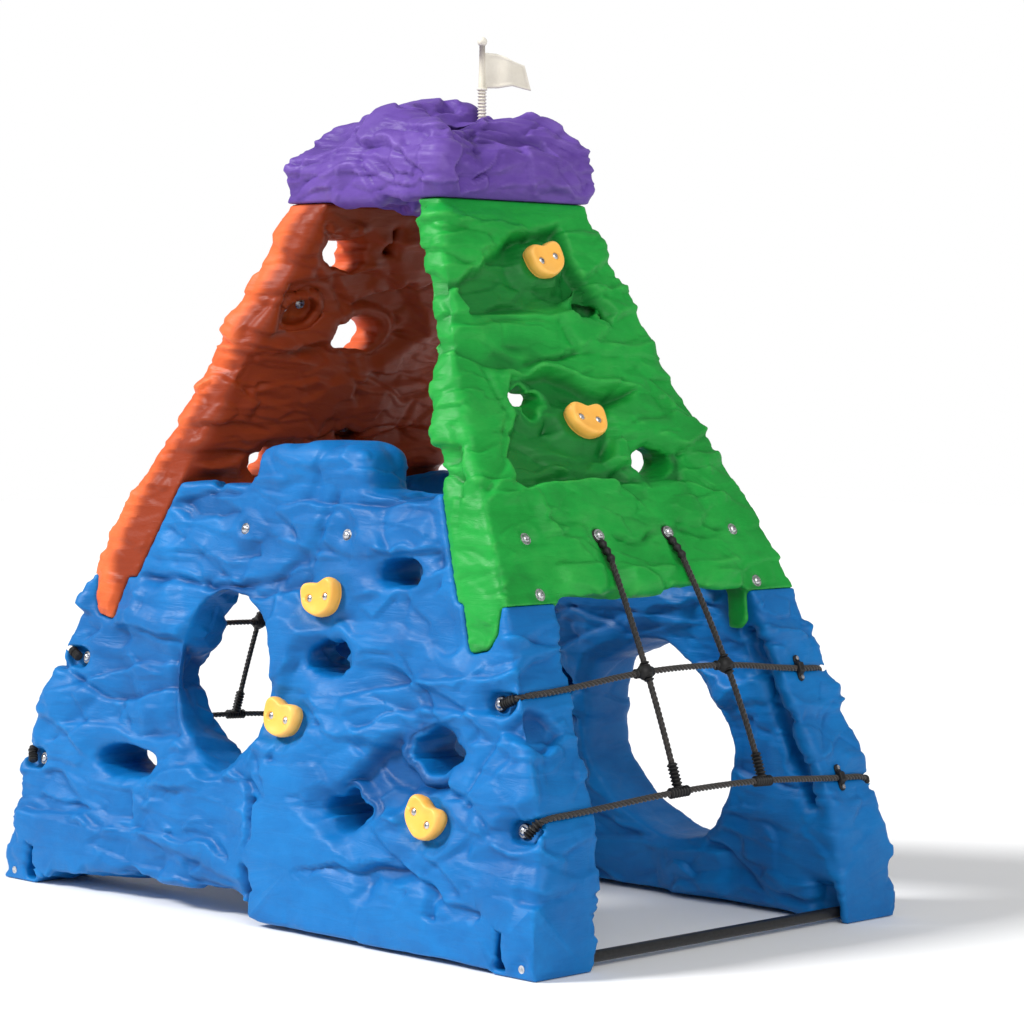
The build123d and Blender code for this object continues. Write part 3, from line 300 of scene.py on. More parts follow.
def mouldedPlastic(name, look):
    # rotomoulded polyethylene: mottled pigment, painted highlights on ridges broken up by scuff noise,
    # painted shade in creases, recesses and inner faces, faint tool streaks
    mat, tree, bsdf = newMaterial(name)
    link = tree.links.new
    coord = node(tree, "ShaderNodeTexCoord").outputs["Object"]
    streakMap = node(tree, "ShaderNodeMapping")
    streakMap.inputs["Scale"].default_value = look.get("streaks", (9, 9, 42))
    streakMap.inputs["Rotation"].default_value = (0.14, 0.1, 0)
    link(coord, streakMap.inputs[0])
    mottle = node(tree, "ShaderNodeTexNoise", Scale=5.5, Detail=5.0, Roughness=0.6)
    streak = node(tree, "ShaderNodeTexNoise", Scale=1.0, Detail=6.0, Roughness=0.62, Distortion=0.9)
    grain = node(tree, "ShaderNodeTexNoise", Scale=420.0, Detail=3.0, Roughness=0.55)
    scuff = node(tree, "ShaderNodeTexNoise", Scale=38.0, Detail=8.0, Roughness=0.7)
    link(coord, mottle.inputs["Vector"])
    link(streakMap.outputs[0], streak.inputs["Vector"])
    link(coord, grain.inputs["Vector"])
    link(coord, scuff.inputs["Vector"])
    base, deep, pale = (linear(look[k]) for k in ("base", "deep", "pale"))
    tone = ramp(tree, mottle.outputs[0], [(0.34, deep), (0.52, base), (0.78, pale)])
    tone = blendColours(tree, look.get("body", 0.55), base, tone)
    lines = ramp(tree, streak.outputs[0], [(0.40, (0, 0, 0, 1)), (0.64, (1, 1, 1, 1))])
    tone = blendColours(tree, span(tree, lines, 0.0, look.get("lineShare", 0.22)), tone, deep)
    # painted highlight: pointy ridges are blended towards the pale colour, broken up by the scuff noise
    ridge = ramp(tree, node(tree, "ShaderNodeNewGeometry").outputs["Pointiness"], [(0.515, (0, 0, 0, 1)),
        (0.575, (1, 1, 1, 1))])
    ridgeHighlight = node(tree, "ShaderNodeMath", operation="MULTIPLY")
    link(ridge, ridgeHighlight.inputs[0])
    link(span(tree, scuff.outputs[0], 0.1, look.get("rub", 0.85), 0.35, 0.7), ridgeHighlight.inputs[1])
    tone = blendColours(tree, ridgeHighlight.outputs[0], tone, pale)
    # painted shade: concave creases are blended towards the deep colour
    crease = ramp(tree, node(tree, "ShaderNodeNewGeometry").outputs["Pointiness"], [(0.43, (1, 1, 1, 1)),
        (0.487, (0, 0, 0, 1))])
    tone = blendColours(tree, span(tree, crease, 0.0, look.get("crease", 0.55)), tone, deep)
    # painted shade: the hollow attribute darkens recesses and inner faces towards the hollow colour
    shadeMask = node(tree, "ShaderNodeAttribute", attribute_name="hollow").outputs["Fac"]
    tone = blendColours(tree, span(tree, shadeMask, 0.0, look.get("sunk", 0.8)), tone,
        linear(look.get("hollow", look["deep"])))
    link(tone, bsdf.inputs["Base Color"])
    link(span(tree, scuff.outputs[0], look.get("smooth", 0.40), look.get("dull", 0.62), 0.3, 0.75),
        bsdf.inputs["Roughness"])
    bsdf.inputs["Specular IOR Level"].default_value = look.get("gloss", 0.26)
    bumps = None
    for source, strength, distance in ((streak.outputs[0], look.get("streakBump", 0.55), 0.004),
        (scuff.outputs[0], 0.25, 0.0012), (grain.outputs[0], 0.22, 0.0004)):
        bump = node(tree, "ShaderNodeBump", Strength=strength, Distance=distance)
        link(source, bump.inputs["Height"])
        if bumps:
            link(bumps, bump.inputs["Normal"])
        bumps = bump.outputs[0]
    link(bumps, bsdf.inputs["Normal"])
    return mat


def brightSteel(name, look):
    # zinc-plated steel: small scratches and dull patches
    mat, tree, bsdf = newMaterial(name)
    link = tree.links.new
    coord = node(tree, "ShaderNodeTexCoord").outputs["Object"]
    patches = node(tree, "ShaderNodeTexNoise", Scale=160.0, Detail=5.0)
    scratches = node(tree, "ShaderNodeTexNoise", Scale=900.0, Detail=4.0, Distortion=1.5)
    link(coord, patches.inputs["Vector"])
    link(coord, scratches.inputs["Vector"])
    link(ramp(tree, patches.outputs[0], [(0.3, linear(look["dark"])), (0.62, linear(look["light"]))]),
        bsdf.inputs["Base Color"])
    link(span(tree, patches.outputs[0], look["polished"], look["dull"], 0.3, 0.7), bsdf.inputs["Roughness"])
    bsdf.inputs["Metallic"].default_value = look.get("metal", 1.0)
    bump = node(tree, "ShaderNodeBump", Strength=0.35, Distance=0.0002)
    link(scratches.outputs[0], bump.inputs["Height"])
    link(bump.outputs[0], bsdf.inputs["Normal"])
    return mat


def ropeFibre(name, look):
    # filaments run along each strand, in the strand's own UV map
    mat, tree, bsdf = newMaterial(name)
    link = tree.links.new
    uv = node(tree, "ShaderNodeUVMap", uv_map="strand").outputs[0]
    stretch = node(tree, "ShaderNodeMapping")
    stretch.inputs["Scale"].default_value = (26, 1.6, 1)
    link(uv, stretch.inputs[0])
    hairs = node(tree, "ShaderNodeTexNoise", Scale=1.0, Detail=5.0, Distortion=0.3)
    dust = node(tree, "ShaderNodeTexNoise", Scale=70.0, Detail=4.0)
    link(stretch.outputs[0], hairs.inputs["Vector"])
    link(node(tree, "ShaderNodeTexCoord").outputs["Object"], dust.inputs["Vector"])
    tone = ramp(tree, hairs.outputs[0], [(0.36, linear(look["dark"])), (0.6, linear(look["light"]))])
    tone = blendColours(tree, span(tree, dust.outputs[0], 0.0, 0.4, 0.4, 0.8), tone, linear(look["dusty"]))
    link(tone, bsdf.inputs["Base Color"])
    link(span(tree, hairs.outputs[0], 0.42, 0.7), bsdf.inputs["Roughness"])
    bsdf.inputs["Sheen Weight"].default_value = 0.25
    bsdf.inputs["Sheen Roughness"].default_value = 0.5
    bump = node(tree, "ShaderNodeBump", Strength=0.7, Distance=0.0005)
    link(hairs.outputs[0], bump.inputs["Height"])
    link(bump.outputs[0], bsdf.inputs["Normal"])
    return mat


# the hollow colour is painted shade for recesses and inner faces; crease sets how much painted shade darkens
# creases
blue = mouldedPlastic("lower wall plastic", {"base": (0, 104, 172), "deep": (0, 78, 142),
    "pale": (10, 128, 200), "hollow": (0, 46, 104), "crease": 0.8})
green = mouldedPlastic("right wall plastic", {"base": (20, 154, 56), "deep": (4, 120, 38),
    "pale": (70, 184, 80), "hollow": (0, 74, 28), "crease": 0.8})
orange = mouldedPlastic("left wall plastic", {"base": (226, 104, 52), "deep": (192, 74, 28),
    "pale": (240, 138, 88), "hollow": (128, 40, 3), "crease": 0.7, "sunk": 0.95})
purple = mouldedPlastic("cap plastic", {"base": (100, 70, 156), "deep": (74, 46, 130),
    "pale": (134, 106, 186), "hollow": (46, 26, 90), "crease": 0.8})
yellow = mouldedPlastic("handhold plastic", {"base": (252, 186, 84), "deep": (236, 158, 52),
    "pale": (255, 210, 130), "streaks": (40, 40, 60), "streakBump": 0.12, "lineShare": 0.1, "smooth": 0.3,
    "dull": 0.5})
ivory = mouldedPlastic("flag plastic", {"base": (222, 216, 202), "deep": (196, 188, 170),
    "pale": (236, 232, 222), "streaks": (60, 60, 90), "streakBump": 0.1, "lineShare": 0.15})
blackRubber = mouldedPlastic("fitting plastic", {"base": (26, 26, 27), "deep": (14, 14, 15),
    "pale": (58, 56, 54), "streaks": (80, 80, 120), "streakBump": 0.15, "smooth": 0.34, "dull": 0.56})
fibre = ropeFibre("rope fibre", {"dark": (9, 8, 8), "light": (42, 36, 31), "dusty": (58, 47, 37)})
steel = brightSteel("bolt steel", {"dark": (150, 150, 152), "light": (216, 216, 218), "polished": 0.2,
    "dull": 0.42})
blackTube = brightSteel("tube paint", {"dark": (15, 15, 16), "light": (34, 34, 35), "polished": 0.28,
    "dull": 0.45, "metal": 0.0})
print("finishes made")

# rope nets: routes of the right-hand net in metres, front half; the back half mirrors it and the left net is turned round

netRope = {"diameter": 0.011, "lay": 0.026, "strands": 3, "sides": 8, "step": 0.0024}
netRoutes = {
    "upper_rope": [(0.5633, -0.3702, 0.4170), (0.5858, -0.3709, 0.4260), (0.5888, -0.2850, 0.4290),
        (0.5964, -0.0990, 0.4500)],
    "lower_rope": [(0.6494, -0.4021, 0.2280), (0.6595, -0.4019, 0.2430), (0.6625, -0.3080, 0.2460),
        (0.6813, -0.1040, 0.2640)],
}
hangerRoute = [(0.5090, 0.0860, 0.6300), (0.6077, 0.0990, 0.4552), (0.6636, 0.1020, 0.3042)]
netSides = {"right": 1, "left": -1}


def smoothLine(name, route):
    # points read from the route's own NURBS spline
    curve = bpy.data.curves.new(name, "CURVE")
    curve.dimensions = "3D"
    spline = curve.splines.new("NURBS")
    spline.points.add(len(route) - 1)
    for point, place in zip(spline.points, route):
        point.co = (*place, 1)
    spline.order_u = 3
    spline.use_endpoint_u = True
    spline.resolution_u = 40
    holder = addObject(name + " line", curve)
    mesh = bpy.data.meshes.new_from_object(holder)
    line = pointsOf(mesh)
    bpy.data.objects.remove(holder)
    return line


def evenly(line, step):
    gone = np.concatenate([[0], np.cumsum(np.linalg.norm(np.diff(line, axis=0), axis=1))])
    at = np.linspace(0, gone[-1], max(3, int(round(gone[-1] / step)) + 1))
    return np.stack([np.interp(at, gone, line[:, k]) for k in range(3)], axis=1), at


def alongFrames(line):
    # two directions square to the line at every point, carried along without twisting
    forward = np.gradient(line, axis=0)
    forward /= np.linalg.norm(forward, axis=1)[:, None]
    side = np.cross(forward[0], (0.2, 0.1, 1.0))
    sides = []
    for f in forward:
        side = side - f * side.dot(f)
        side /= np.linalg.norm(side)
        sides.append(side)
    sides = np.array(sides)
    return forward, sides, np.cross(forward, sides)


def laidRope(name, route, spec):
    # three strands laid round the line, each an oval tube with closed ends and a UV map along it
    line, at = evenly(smoothLine(name, route), spec["step"])
    forward, side, up = alongFrames(line)
    radius = spec["diameter"] / 2
    strandRadius = radius * 0.5
    pts, faces, uvs = [], [], []
    for strand in range(spec["strands"]):
        turn = 2 * np.pi * (at / spec["lay"] + strand / spec["strands"])
        out = side * np.cos(turn)[:, None] + up * np.sin(turn)[:, None]
        across = -side * np.sin(turn)[:, None] + up * np.cos(turn)[:, None]
        middle = line + out * (radius - strandRadius)
        base = len(pts)
        for i in range(len(line)):
            for k in range(spec["sides"]):
                a = 2 * math.pi * k / spec["sides"]
                rise = across[i] * strandRadius * 1.2 * math.sin(a)
                pts.append(middle[i] + out[i] * strandRadius * math.cos(a) + rise)
        for i in range(len(line) - 1):
            for k in range(spec["sides"]):
                n = (k + 1) % spec["sides"]
                row, following = base + i * spec["sides"], base + (i + 1) * spec["sides"]
                faces.append((row + k, row + n, following + n, following + k))
                u0, u1, v0, v1 = k / spec["sides"], (k + 1) / spec["sides"], at[i] / 0.01, at[i + 1] / 0.01
                uvs.append(((u0, v0), (u1, v0), (u1, v1), (u0, v1)))
        faces.append(tuple(base + k for k in reversed(range(spec["sides"]))))
        faces.append(tuple(base + (len(line) - 1) * spec["sides"] + k for k in range(spec["sides"])))
        uvs += [((0, 0),) * spec["sides"]] * 2
    mesh = bpy.data.meshes.new(name)
    mesh.from_pydata([tuple(p) for p in pts], [], faces)
    layer = mesh.uv_layers.new(name="strand")
    layer.data.foreach_set("uv", np.array([c for face in uvs for c in face]).ravel())
    mesh.shade_smooth()
    return addObject(name, mesh), line, at[-1]


def turnedRoute(route, side):
    return [(x * side, y * side, z) for x, y, z in route]


ropeLines = {}


def hangRope(name, route, cadNode):
    piece, line, long = laidRope(name, route, netRope)
    finishPiece(piece, "frame", fibre, [cadNode])
    ropeLines[cadNode] = line


for side, sign in netSides.items():
    for rope, half in netRoutes.items():
        whole = half + [(x, -y, z) for x, y, z in reversed(half)]
        hangRope(f"{side}_{rope}_laid", turnedRoute(whole, sign), f"{side}_{rope}")
    for place, hand in (("front", -1), ("back", 1)):
        route = turnedRoute([(x, y * hand, z) for x, y, z in hangerRoute], sign)
        if sign < 0:
            place = {"front": "back", "back": "front"}[place]
        hangRope(f"{side}_{place}_hanger_laid", route, f"{side}_{place}_hanger_rope")
print("ropes laid:", len(ropeLines))

# rock mouldings: the CAD moulding's outer skin, meshed evenly, rounded and carved


def evenSkin(name, node, voxel):
    pts, faces = max(solidsOf(node), key=lambda s: np.prod(np.ptp(s[0], axis=0)))
    # the sealed hollow is its own island, so the largest island is the outside
    raw = addObject(name + " raw", meshFrom(name + " raw", pts, faces))
    mod = raw.modifiers.new("even", "REMESH")
    mod.mode, mod.voxel_size, mod.adaptivity = "VOXEL", voxel, 0
    mesh = bpy.data.meshes.new_from_object(raw.evaluated_get(bpy.context.evaluated_depsgraph_get()))
    bpy.data.objects.remove(raw)
    mesh.name = name
    return mesh


def spreadOver(node, spacing, rng):
    # points scattered evenly over a CAD node's faces
    mesh = nodes[node].data
    mesh.calc_loop_triangles()
    tri = np.empty(len(mesh.loop_triangles) * 3, dtype=np.int32)
    mesh.loop_triangles.foreach_get("vertices", tri)
    a, b, c = pointsOf(mesh)[tri.reshape(-1, 3)].transpose(1, 0, 2)
    area = np.linalg.norm(np.cross(b - a, c - a), axis=1) / 2
    pick = rng.choice(len(area), size=int(area.sum() / spacing ** 2) + 40, p=area / area.sum())
    u, v = rng.random((2, len(pick), 1))
    u, v = np.where(u + v > 1, 1 - u, u), np.where(u + v > 1, 1 - v, v)
    return a[pick] + u * (b - a)[pick] + v * (c - a)[pick]


def clearOfOthers(co, own, near, far):
    # 0 beside any other part of the climber, 1 well away from it
    rng = np.random.default_rng(7)
    low, high = co.min(0) - far, co.max(0) + far
    cloud = np.concatenate([spreadOver(n, 0.006, rng) for n in nodes if n not in own])
    cloud = cloud[((cloud > low) & (cloud < high)).all(1)]
    tree = KDTree(len(cloud))
    for i, p in enumerate(cloud):
        tree.insert(p, i)
    tree.balance()
    gap = np.array([tree.find(p)[2] for p in co])
    t = np.clip((gap - near) / (far - near), 0, 1)
    return t * t * (3 - 2 * t)


def normalsOf(mesh, co):
    mesh.vertices.foreach_set("co", co.ravel())
    mesh.update()
    n = np.empty(len(co) * 3, dtype=np.float32)
    mesh.vertex_normals.foreach_get("vector", n)
    return n.reshape(-1, 3).astype(float)


def relaxed(co, edges, weight, rounds):
    a, b = edges.T
    n = len(co)
    count = np.bincount(a, minlength=n) + np.bincount(b, minlength=n)
    for _ in range(rounds):
        mean = np.stack([np.bincount(a, co[b, k], n) + np.bincount(b, co[a, k], n) for k in range(3)],
            axis=1) / count[:, None]
        co = co + (weight * 0.5)[:, None] * (mean - co)
    return co


def ease(x):
    x = np.clip(x, 0, 1)
    return x * x * (3 - 2 * x)


def rockBeds(co, pitch, seed):
    # beds of rock: each juts out at its foot, leans back towards the next and dies out along its length
    wander = 0.055 * softNoise(co / 0.33, seed) + 0.016 * softNoise(co / 0.09, seed + 1)
    phase = (co[:, 2] + 0.10 * (co[:, 0] - co[:, 1]) + wander) / pitch
    bed = np.floor(phase)
    share = phase - bed
    along = np.stack([co[:, 0] / 0.2, co[:, 1] / 0.2, bed * 5.7], axis=1)
    return ease(softNoise(along, seed + 2) * 1.1 + 0.5) * (1 - share) * ease(share / 0.14)


def lineDistance(s, z, line):
    best = np.full(len(s), 1e9)
    for (s0, z0), (s1, z1) in zip(line, line[1:]):
        d = np.array((s1 - s0, z1 - z0))
        t = np.clip(((s - s0) * d[0] + (z - z0) * d[1]) / (d @ d), 0, 1)
        best = np.minimum(best, np.hypot(s - s0 - t * d[0], z - z0 - t * d[1]))
    return best


def facets(p, seed):
    # continuous low-poly relief: random heights on a lattice, joined by flat tetrahedra
    cell = np.floor(p)
    f = p - cell
    order = np.argsort(-f, axis=1)
    ranked = np.take_along_axis(f, order, axis=1)
    corner, total = cell.copy(), (1 - ranked[:, 0]) * latticeValue(cell, seed)
    for k in range(3):
        corner[np.arange(len(p)), order[:, k]] += 1
        share = ranked[:, k] - (ranked[:, k + 1] if k < 2 else 0)
        total += share * latticeValue(corner, seed)
    return total


def spunAxes(p, seed):
    # lattices at odd angles, so that no two layers line up
    a, b = 0.7 + seed * 0.37, 0.4 + seed * 0.61
    turn = Matrix.Rotation(a, 3, "Z") @ Matrix.Rotation(b, 3, "X")
    return p @ np.array(turn)


def insideOutline(s, z, outline):
    inside = np.zeros(len(s), bool)
    for (s0, z0), (s1, z1) in zip(outline, outline[1:] + outline[:1]):
        crosses = (z0 > z) != (z1 > z)
        inside ^= crosses & (s < (s1 - s0) * (z - z0) / ((z1 - z0) or 1e-9) + s0)
    return inside


def markHeight(mark, s, z):
    # one listed feature, in millimetres on the wall's own face
    kind, *rest = mark
    if kind == "boulder":      # outline, how far it stands out, width of its shoulder
        outline, height, shoulder = rest
        edge = lineDistance(s, z, outline + outline[:1])
        signed = np.where(insideOutline(s, z, outline), edge, -edge)
        step = height * ease((signed + shoulder * 0.35) / shoulder)
        return step + np.sign(height) * 0.02 * np.clip(signed, 0, 90)
    if kind == "ledge":        # line, step below it, how far down the step fades out
        line, drop, reach = rest
        across, up = zip(*sorted(line))
        below = np.interp(s, across, up) - z
        ends = ease((s - across[0]) / 30 + 0.5) * ease((across[-1] - s) / 30 + 0.5)
        return drop * ends * ease(below / 9 + 0.5) * np.exp(-(np.clip(below, 0, None) / reach) ** 2)
    if kind == "crack":        # line, depth, width
        line, depth, width = rest
        return -depth * np.exp(-(lineDistance(s, z, line) / width) ** 2)
    raise ValueError(kind)


def roughHoles(co, free, face, holes, seed):
    # the oval openings become irregular: their edges move in and out a little, the same all through the wall
    sx, sy = faceFrames[face][1]
    calm = np.ones(len(co))
    for number, (cs, cz, rs, rz, rough) in enumerate(holes):
        ds = (co[:, 0] * sx + co[:, 1] * sy) * 1000 - cs
        dz = co[:, 2] * 1000 - cz
        angle = np.arctan2(dz / rz, ds / rs)
        away = (np.hypot(ds / rs, dz / rz) - 1) * min(rs, rz)
        ring = np.stack([np.cos(angle), np.sin(angle), np.full(len(co), number * 3.7)], axis=1)
        push = softNoise(ring * 1.3, seed + 3) + 0.7 * facets(ring * 1.9, seed + 4)
        push = push + 0.35 * facets(ring * 4.1, seed + 5)
        shift = rough / 1000 * push * np.exp(-(away / (10 + 0.3 * min(rs, rz))) ** 2) * free
        co = co + np.stack([shift * np.cos(angle) * sx, shift * np.cos(angle) * sy, shift * np.sin(angle)],
            axis=1)
        calm = np.minimum(calm, 0.25 + 0.75 * ease((away - rough * 0.5) / 16))
    return co, calm      # calm keeps the relief low on the holes' own walls


faceFrames = {"-y": ((0, -1), (1, 0)), "+x": ((1, 0), (0, 1)), "+y": ((0, 1), (-1, 0)),
    "-x": ((-1, 0), (0, -1))}


def carve(mesh, spec, own):
    co = pointsOf(mesh).copy()
    edges = np.empty(len(mesh.edges) * 2, dtype=np.int32)
    mesh.edges.foreach_get("vertices", edges)
    edges = edges.reshape(-1, 2)
    free = clearOfOthers(co, own, 0.005, 0.034)
    free *= ease((co[:, 2] - 0.003) / 0.02) if spec.get("stands") else 1
    co = relaxed(co, edges, np.ones(len(co)), 4)
    co = relaxed(co, edges, free, spec.get("round", 26))
    calm = 1
    for face, holes in spec.get("holes", {}).items():
        co, calm = roughHoles(co, free, face, holes, spec["seed"])
    n = normalsOf(mesh, co)
    # wandering plates at two sizes, then fine tool-like streaks
    q = warped(warped(co, 0.035, 0.21, spec["seed"]), 0.008, 0.045, spec["seed"] + 11)
    lift = np.zeros(len(co))
    for k, (size, stretch, soft, tilt, depth, crack) in enumerate(spec["plates"]):
        plate, border = slabs(q, size, stretch, soft, tilt, spec["seed"] + 31 * k)
        gate = ease(softNoise(co / 0.09, spec["seed"] + 5 + k) * 2 + 0.3)
        lift += depth * plate - crack * gate * np.exp(-(border / 0.07) ** 2)
    for k, (size, depth) in enumerate(spec["facets"]):
        lift += depth * facets(spunAxes(q * np.array((1, 1, 1.25)) / size, spec["seed"] % 7 + k),
            spec["seed"] + 13 * k)
    for k, (pitch, depth) in enumerate(spec["beds"]):
        lift += depth * rockBeds(co, pitch, spec["seed"] + 40 + 7 * k)
    fold = softNoise(q * np.array((9, 9, 30)), spec["seed"] + 71)
    lift += spec.get("folds", 0.0012) * (1 - 2 * np.abs(fold))
    s0 = co * 1000
    wander = 9 * np.stack([softNoise(co / 0.06, spec["seed"] + 90 + i) for i in range(2)], axis=1)
    for face, marks in spec.get("marks", {}).items():
        (nx, ny), (sx, sy) = faceFrames[face]
        weight = ease((n[:, 0] * nx + n[:, 1] * ny - 0.15) / 0.45)
        s = s0[:, 0] * sx + s0[:, 1] * sy + wander[:, 0]
        z = s0[:, 2] + wander[:, 1]
        for mark in marks:
            lift += weight * spec.get("markGain", 1.7) * markHeight(mark, s, z) / 1000
    lift = np.clip(lift, -0.034, 0.020)
    co = co + n * (lift * free * calm)[:, None]
    # painted shade: points carved below the surface are darkened by how deep they sit
    sunk = ease((-lift - 0.002) / 0.018) * 0.75
    if "inside" in spec:
        # painted shade on the inner face, from how far each point lies behind the outermost point at its
        # height
        (nx, ny), _ = faceFrames[spec["inside"]]
        reach = co[:, 0] * nx + co[:, 1] * ny
        level = np.round(co[:, 2] / 0.02).astype(int)
        outermost = np.full(level.max() + 1, -9.0)
        np.maximum.at(outermost, level, reach)
        sunk = np.maximum(sunk, ease((outermost[level] - reach - 0.045) / 0.04))
    layer = mesh.attributes.new("hollow", "FLOAT", "POINT")
    layer.data.foreach_set("value", sunk.astype(np.float32))
    co = relaxed(co, edges, 0.35 * free, 1)
    low, high = np.array(cadBox[0]), np.array(cadBox[1])
    co = np.clip(co, low + 0.0002, high - 0.0002)
    normalsOf(mesh, co)
    return mesh


def thinned(mesh, most):
    # decimates the piece when it has more triangles than most; keeps the piece under
    # its triangle limit
    count = sum(len(p.vertices) - 2 for p in mesh.polygons)
    if count <= most:
        return mesh
    holder = addObject("thin", mesh)
    mod = holder.modifiers.new("thin", "DECIMATE")
    mod.ratio = most / count
    result = bpy.data.meshes.new_from_object(holder.evaluated_get(bpy.context.evaluated_depsgraph_get()))
    bpy.data.objects.remove(holder)
    return result


def rockMoulding(name, cadNode, body, material, spec, own=()):
    mesh = evenSkin(name, cadNode, spec["voxel"] * (1))
    mesh = thinned(carve(mesh, spec, {cadNode, *own}), 192000)
    mesh.shade_smooth()
    piece = finishPiece(addObject(name, mesh), body, material, [cadNode])
    print(name, "carved,", len(mesh.polygons), "faces")
    return piece


frontRock = {
    "voxel": 0.0046, "seed": 21, "round": 26, "stands": True, "folds": 0.0013,
    # size, stretch, softness of the borders, tilt, depth, crack
    "plates": [(0.170, (1.7, 1.3, 0.6), 70, 1.2, 0.0085, 0.004), (0.070, (1.8, 1.2, 0.5), 50, 1.4, 0.0034,
        0.002)],
    "facets": [(0.240, 0.016), (0.105, 0.0040), (0.042, 0.0010)],
    "beds": [(0.118, 0.0135), (0.047, 0.0034)],
    "holes": {"-y": [(-132, 405, 128, 141, 13), (-372, 240, 86, 31, 7), (132, 457, 56, 31, 8),
        (274, 602, 50, 21, 6), (413, 326, 72, 33, 8), (222, 214, 57, 32, 8)]},
    "marks": {
        "-y": [
            ("ledge", [(-660, 124), (-485, 128), (-333, 124), (-220, 125), (-100, 122), (-12, 94)], 9, 60),
            ("ledge", [(-300, 226), (-190, 250), (-97, 262), (-18, 227), (2, 168)], 7, 70),
            ("crack", [(-4, 208), (10, 143), (-8, 87), (-13, 8)], 9, 8),
            ("boulder", [(0, 215), (118, 222), (215, 168), (300, 92), (262, 18), (0, 14)], 9, 34),
            ("boulder", [(265, 61), (328, 112), (420, 138), (452, 108), (438, 10), (284, 12)], 9, 26),
            ("boulder", [(455, 92), (551, 117), (700, 112), (700, 4), (452, 4)], 8, 26),
            ("boulder", [(-640, 112), (-520, 116), (-470, 100), (-480, 2), (-680, 2)], 4, 24),
            ("boulder", [(205, 250), (270, 315), (372, 372), (470, 356), (460, 270), (330, 215),
                (250, 180)], -16, 30),
            ("crack", [(378, 351), (270, 307), (205, 242)], 5, 9),
            ("crack", [(92, 720), (63, 642), (-15, 578), (-160, 556), (-398, 568)], 6, 10),
            ("boulder", [(140, 700), (330, 700), (380, 600), (300, 580), (150, 640)], 7, 40),
            ("ledge", [(215, 640), (300, 634), (380, 650)], -7, 45),
            ("ledge", [(190, 396), (317, 427), (501, 447), (660, 494)], 7, 46),
            ("ledge", [(225, 352), (372, 392), (510, 393), (690, 436)], 5, 40),
            ("boulder", [(515, 262), (550, 307), (633, 346), (700, 347), (700, 200), (658, 186),
                (545, 176)], 7, 30),
            ("boulder", [(-30, 560), (68, 500), (48, 413), (30, 330), (-30, 262), (-2, 380)], 8, 30),
            ("ledge", [(-600, 338), (-417, 401), (-262, 424)], 6, 50),
            ("ledge", [(-580, 292), (-397, 298), (-200, 282)], 5, 36),
            ("boulder", [(-420, 560), (-300, 560), (-262, 470), (-272, 330), (-330, 300), (-420, 420)], 7,
                40),
            ("boulder", [(-120, 800), (-40, 806), (20, 760), (-60, 736), (-120, 742)], 5, 22),
        ],
    },
}

backRock = {
    "voxel": 0.0046, "seed": 47, "round": 26, "stands": True, "folds": 0.0012,
    "plates": [(0.170, (1.6, 1.3, 0.65), 70, 1.2, 0.0085, 0.004), (0.068, (1.7, 1.2, 0.5), 50, 1.4, 0.0034,
        0.002)],
    "facets": [(0.230, 0.015), (0.105, 0.0040), (0.042, 0.0010)],
    "beds": [(0.124, 0.0130), (0.049, 0.0032)],
    "holes": {"+y": [(-275, 281, 172, 172, 18), (-32, 262, 38, 30, 7), (330, 300, 78, 34, 8),
        (170, 540, 60, 30, 8), (-330, 585, 48, 22, 6)]},
    "marks": {
        "-y": [
            ("ledge", [(-20, 560), (120, 590), (260, 570), (380, 540)], 6, 60),
            ("boulder", [(20, 560), (150, 600), (330, 560), (300, 500), (90, 490)], 6, 40),
            ("crack", [(70, 300), (30, 380), (20, 470), (120, 520)], 5, 9),
            ("ledge", [(-560, 96), (-200, 104), (60, 92), (420, 98)], 7, 60),
        ],
        "+y": [
            ("ledge", [(-640, 132), (-420, 120), (-150, 126), (60, 108)], 8, 60),
            ("ledge", [(-100, 210), (60, 224), (240, 206), (420, 170), (620, 160)], 8, 60),
            ("boulder", [(-620, 112), (-470, 116), (-330, 92), (-350, 10), (-640, 8)], 7, 26),
            ("boulder", [(60, 120), (190, 150), (300, 120), (320, 14), (60, 14)], 8, 28),
            ("crack", [(40, 720), (60, 640), (150, 600), (330, 610)], 6, 10),
            ("boulder", [(-200, 620), (-60, 640), (40, 580), (0, 480), (-150, 500)], 6, 40),
            ("ledge", [(230, 440), (400, 420), (560, 440)], 7, 50),
        ],
    },
}

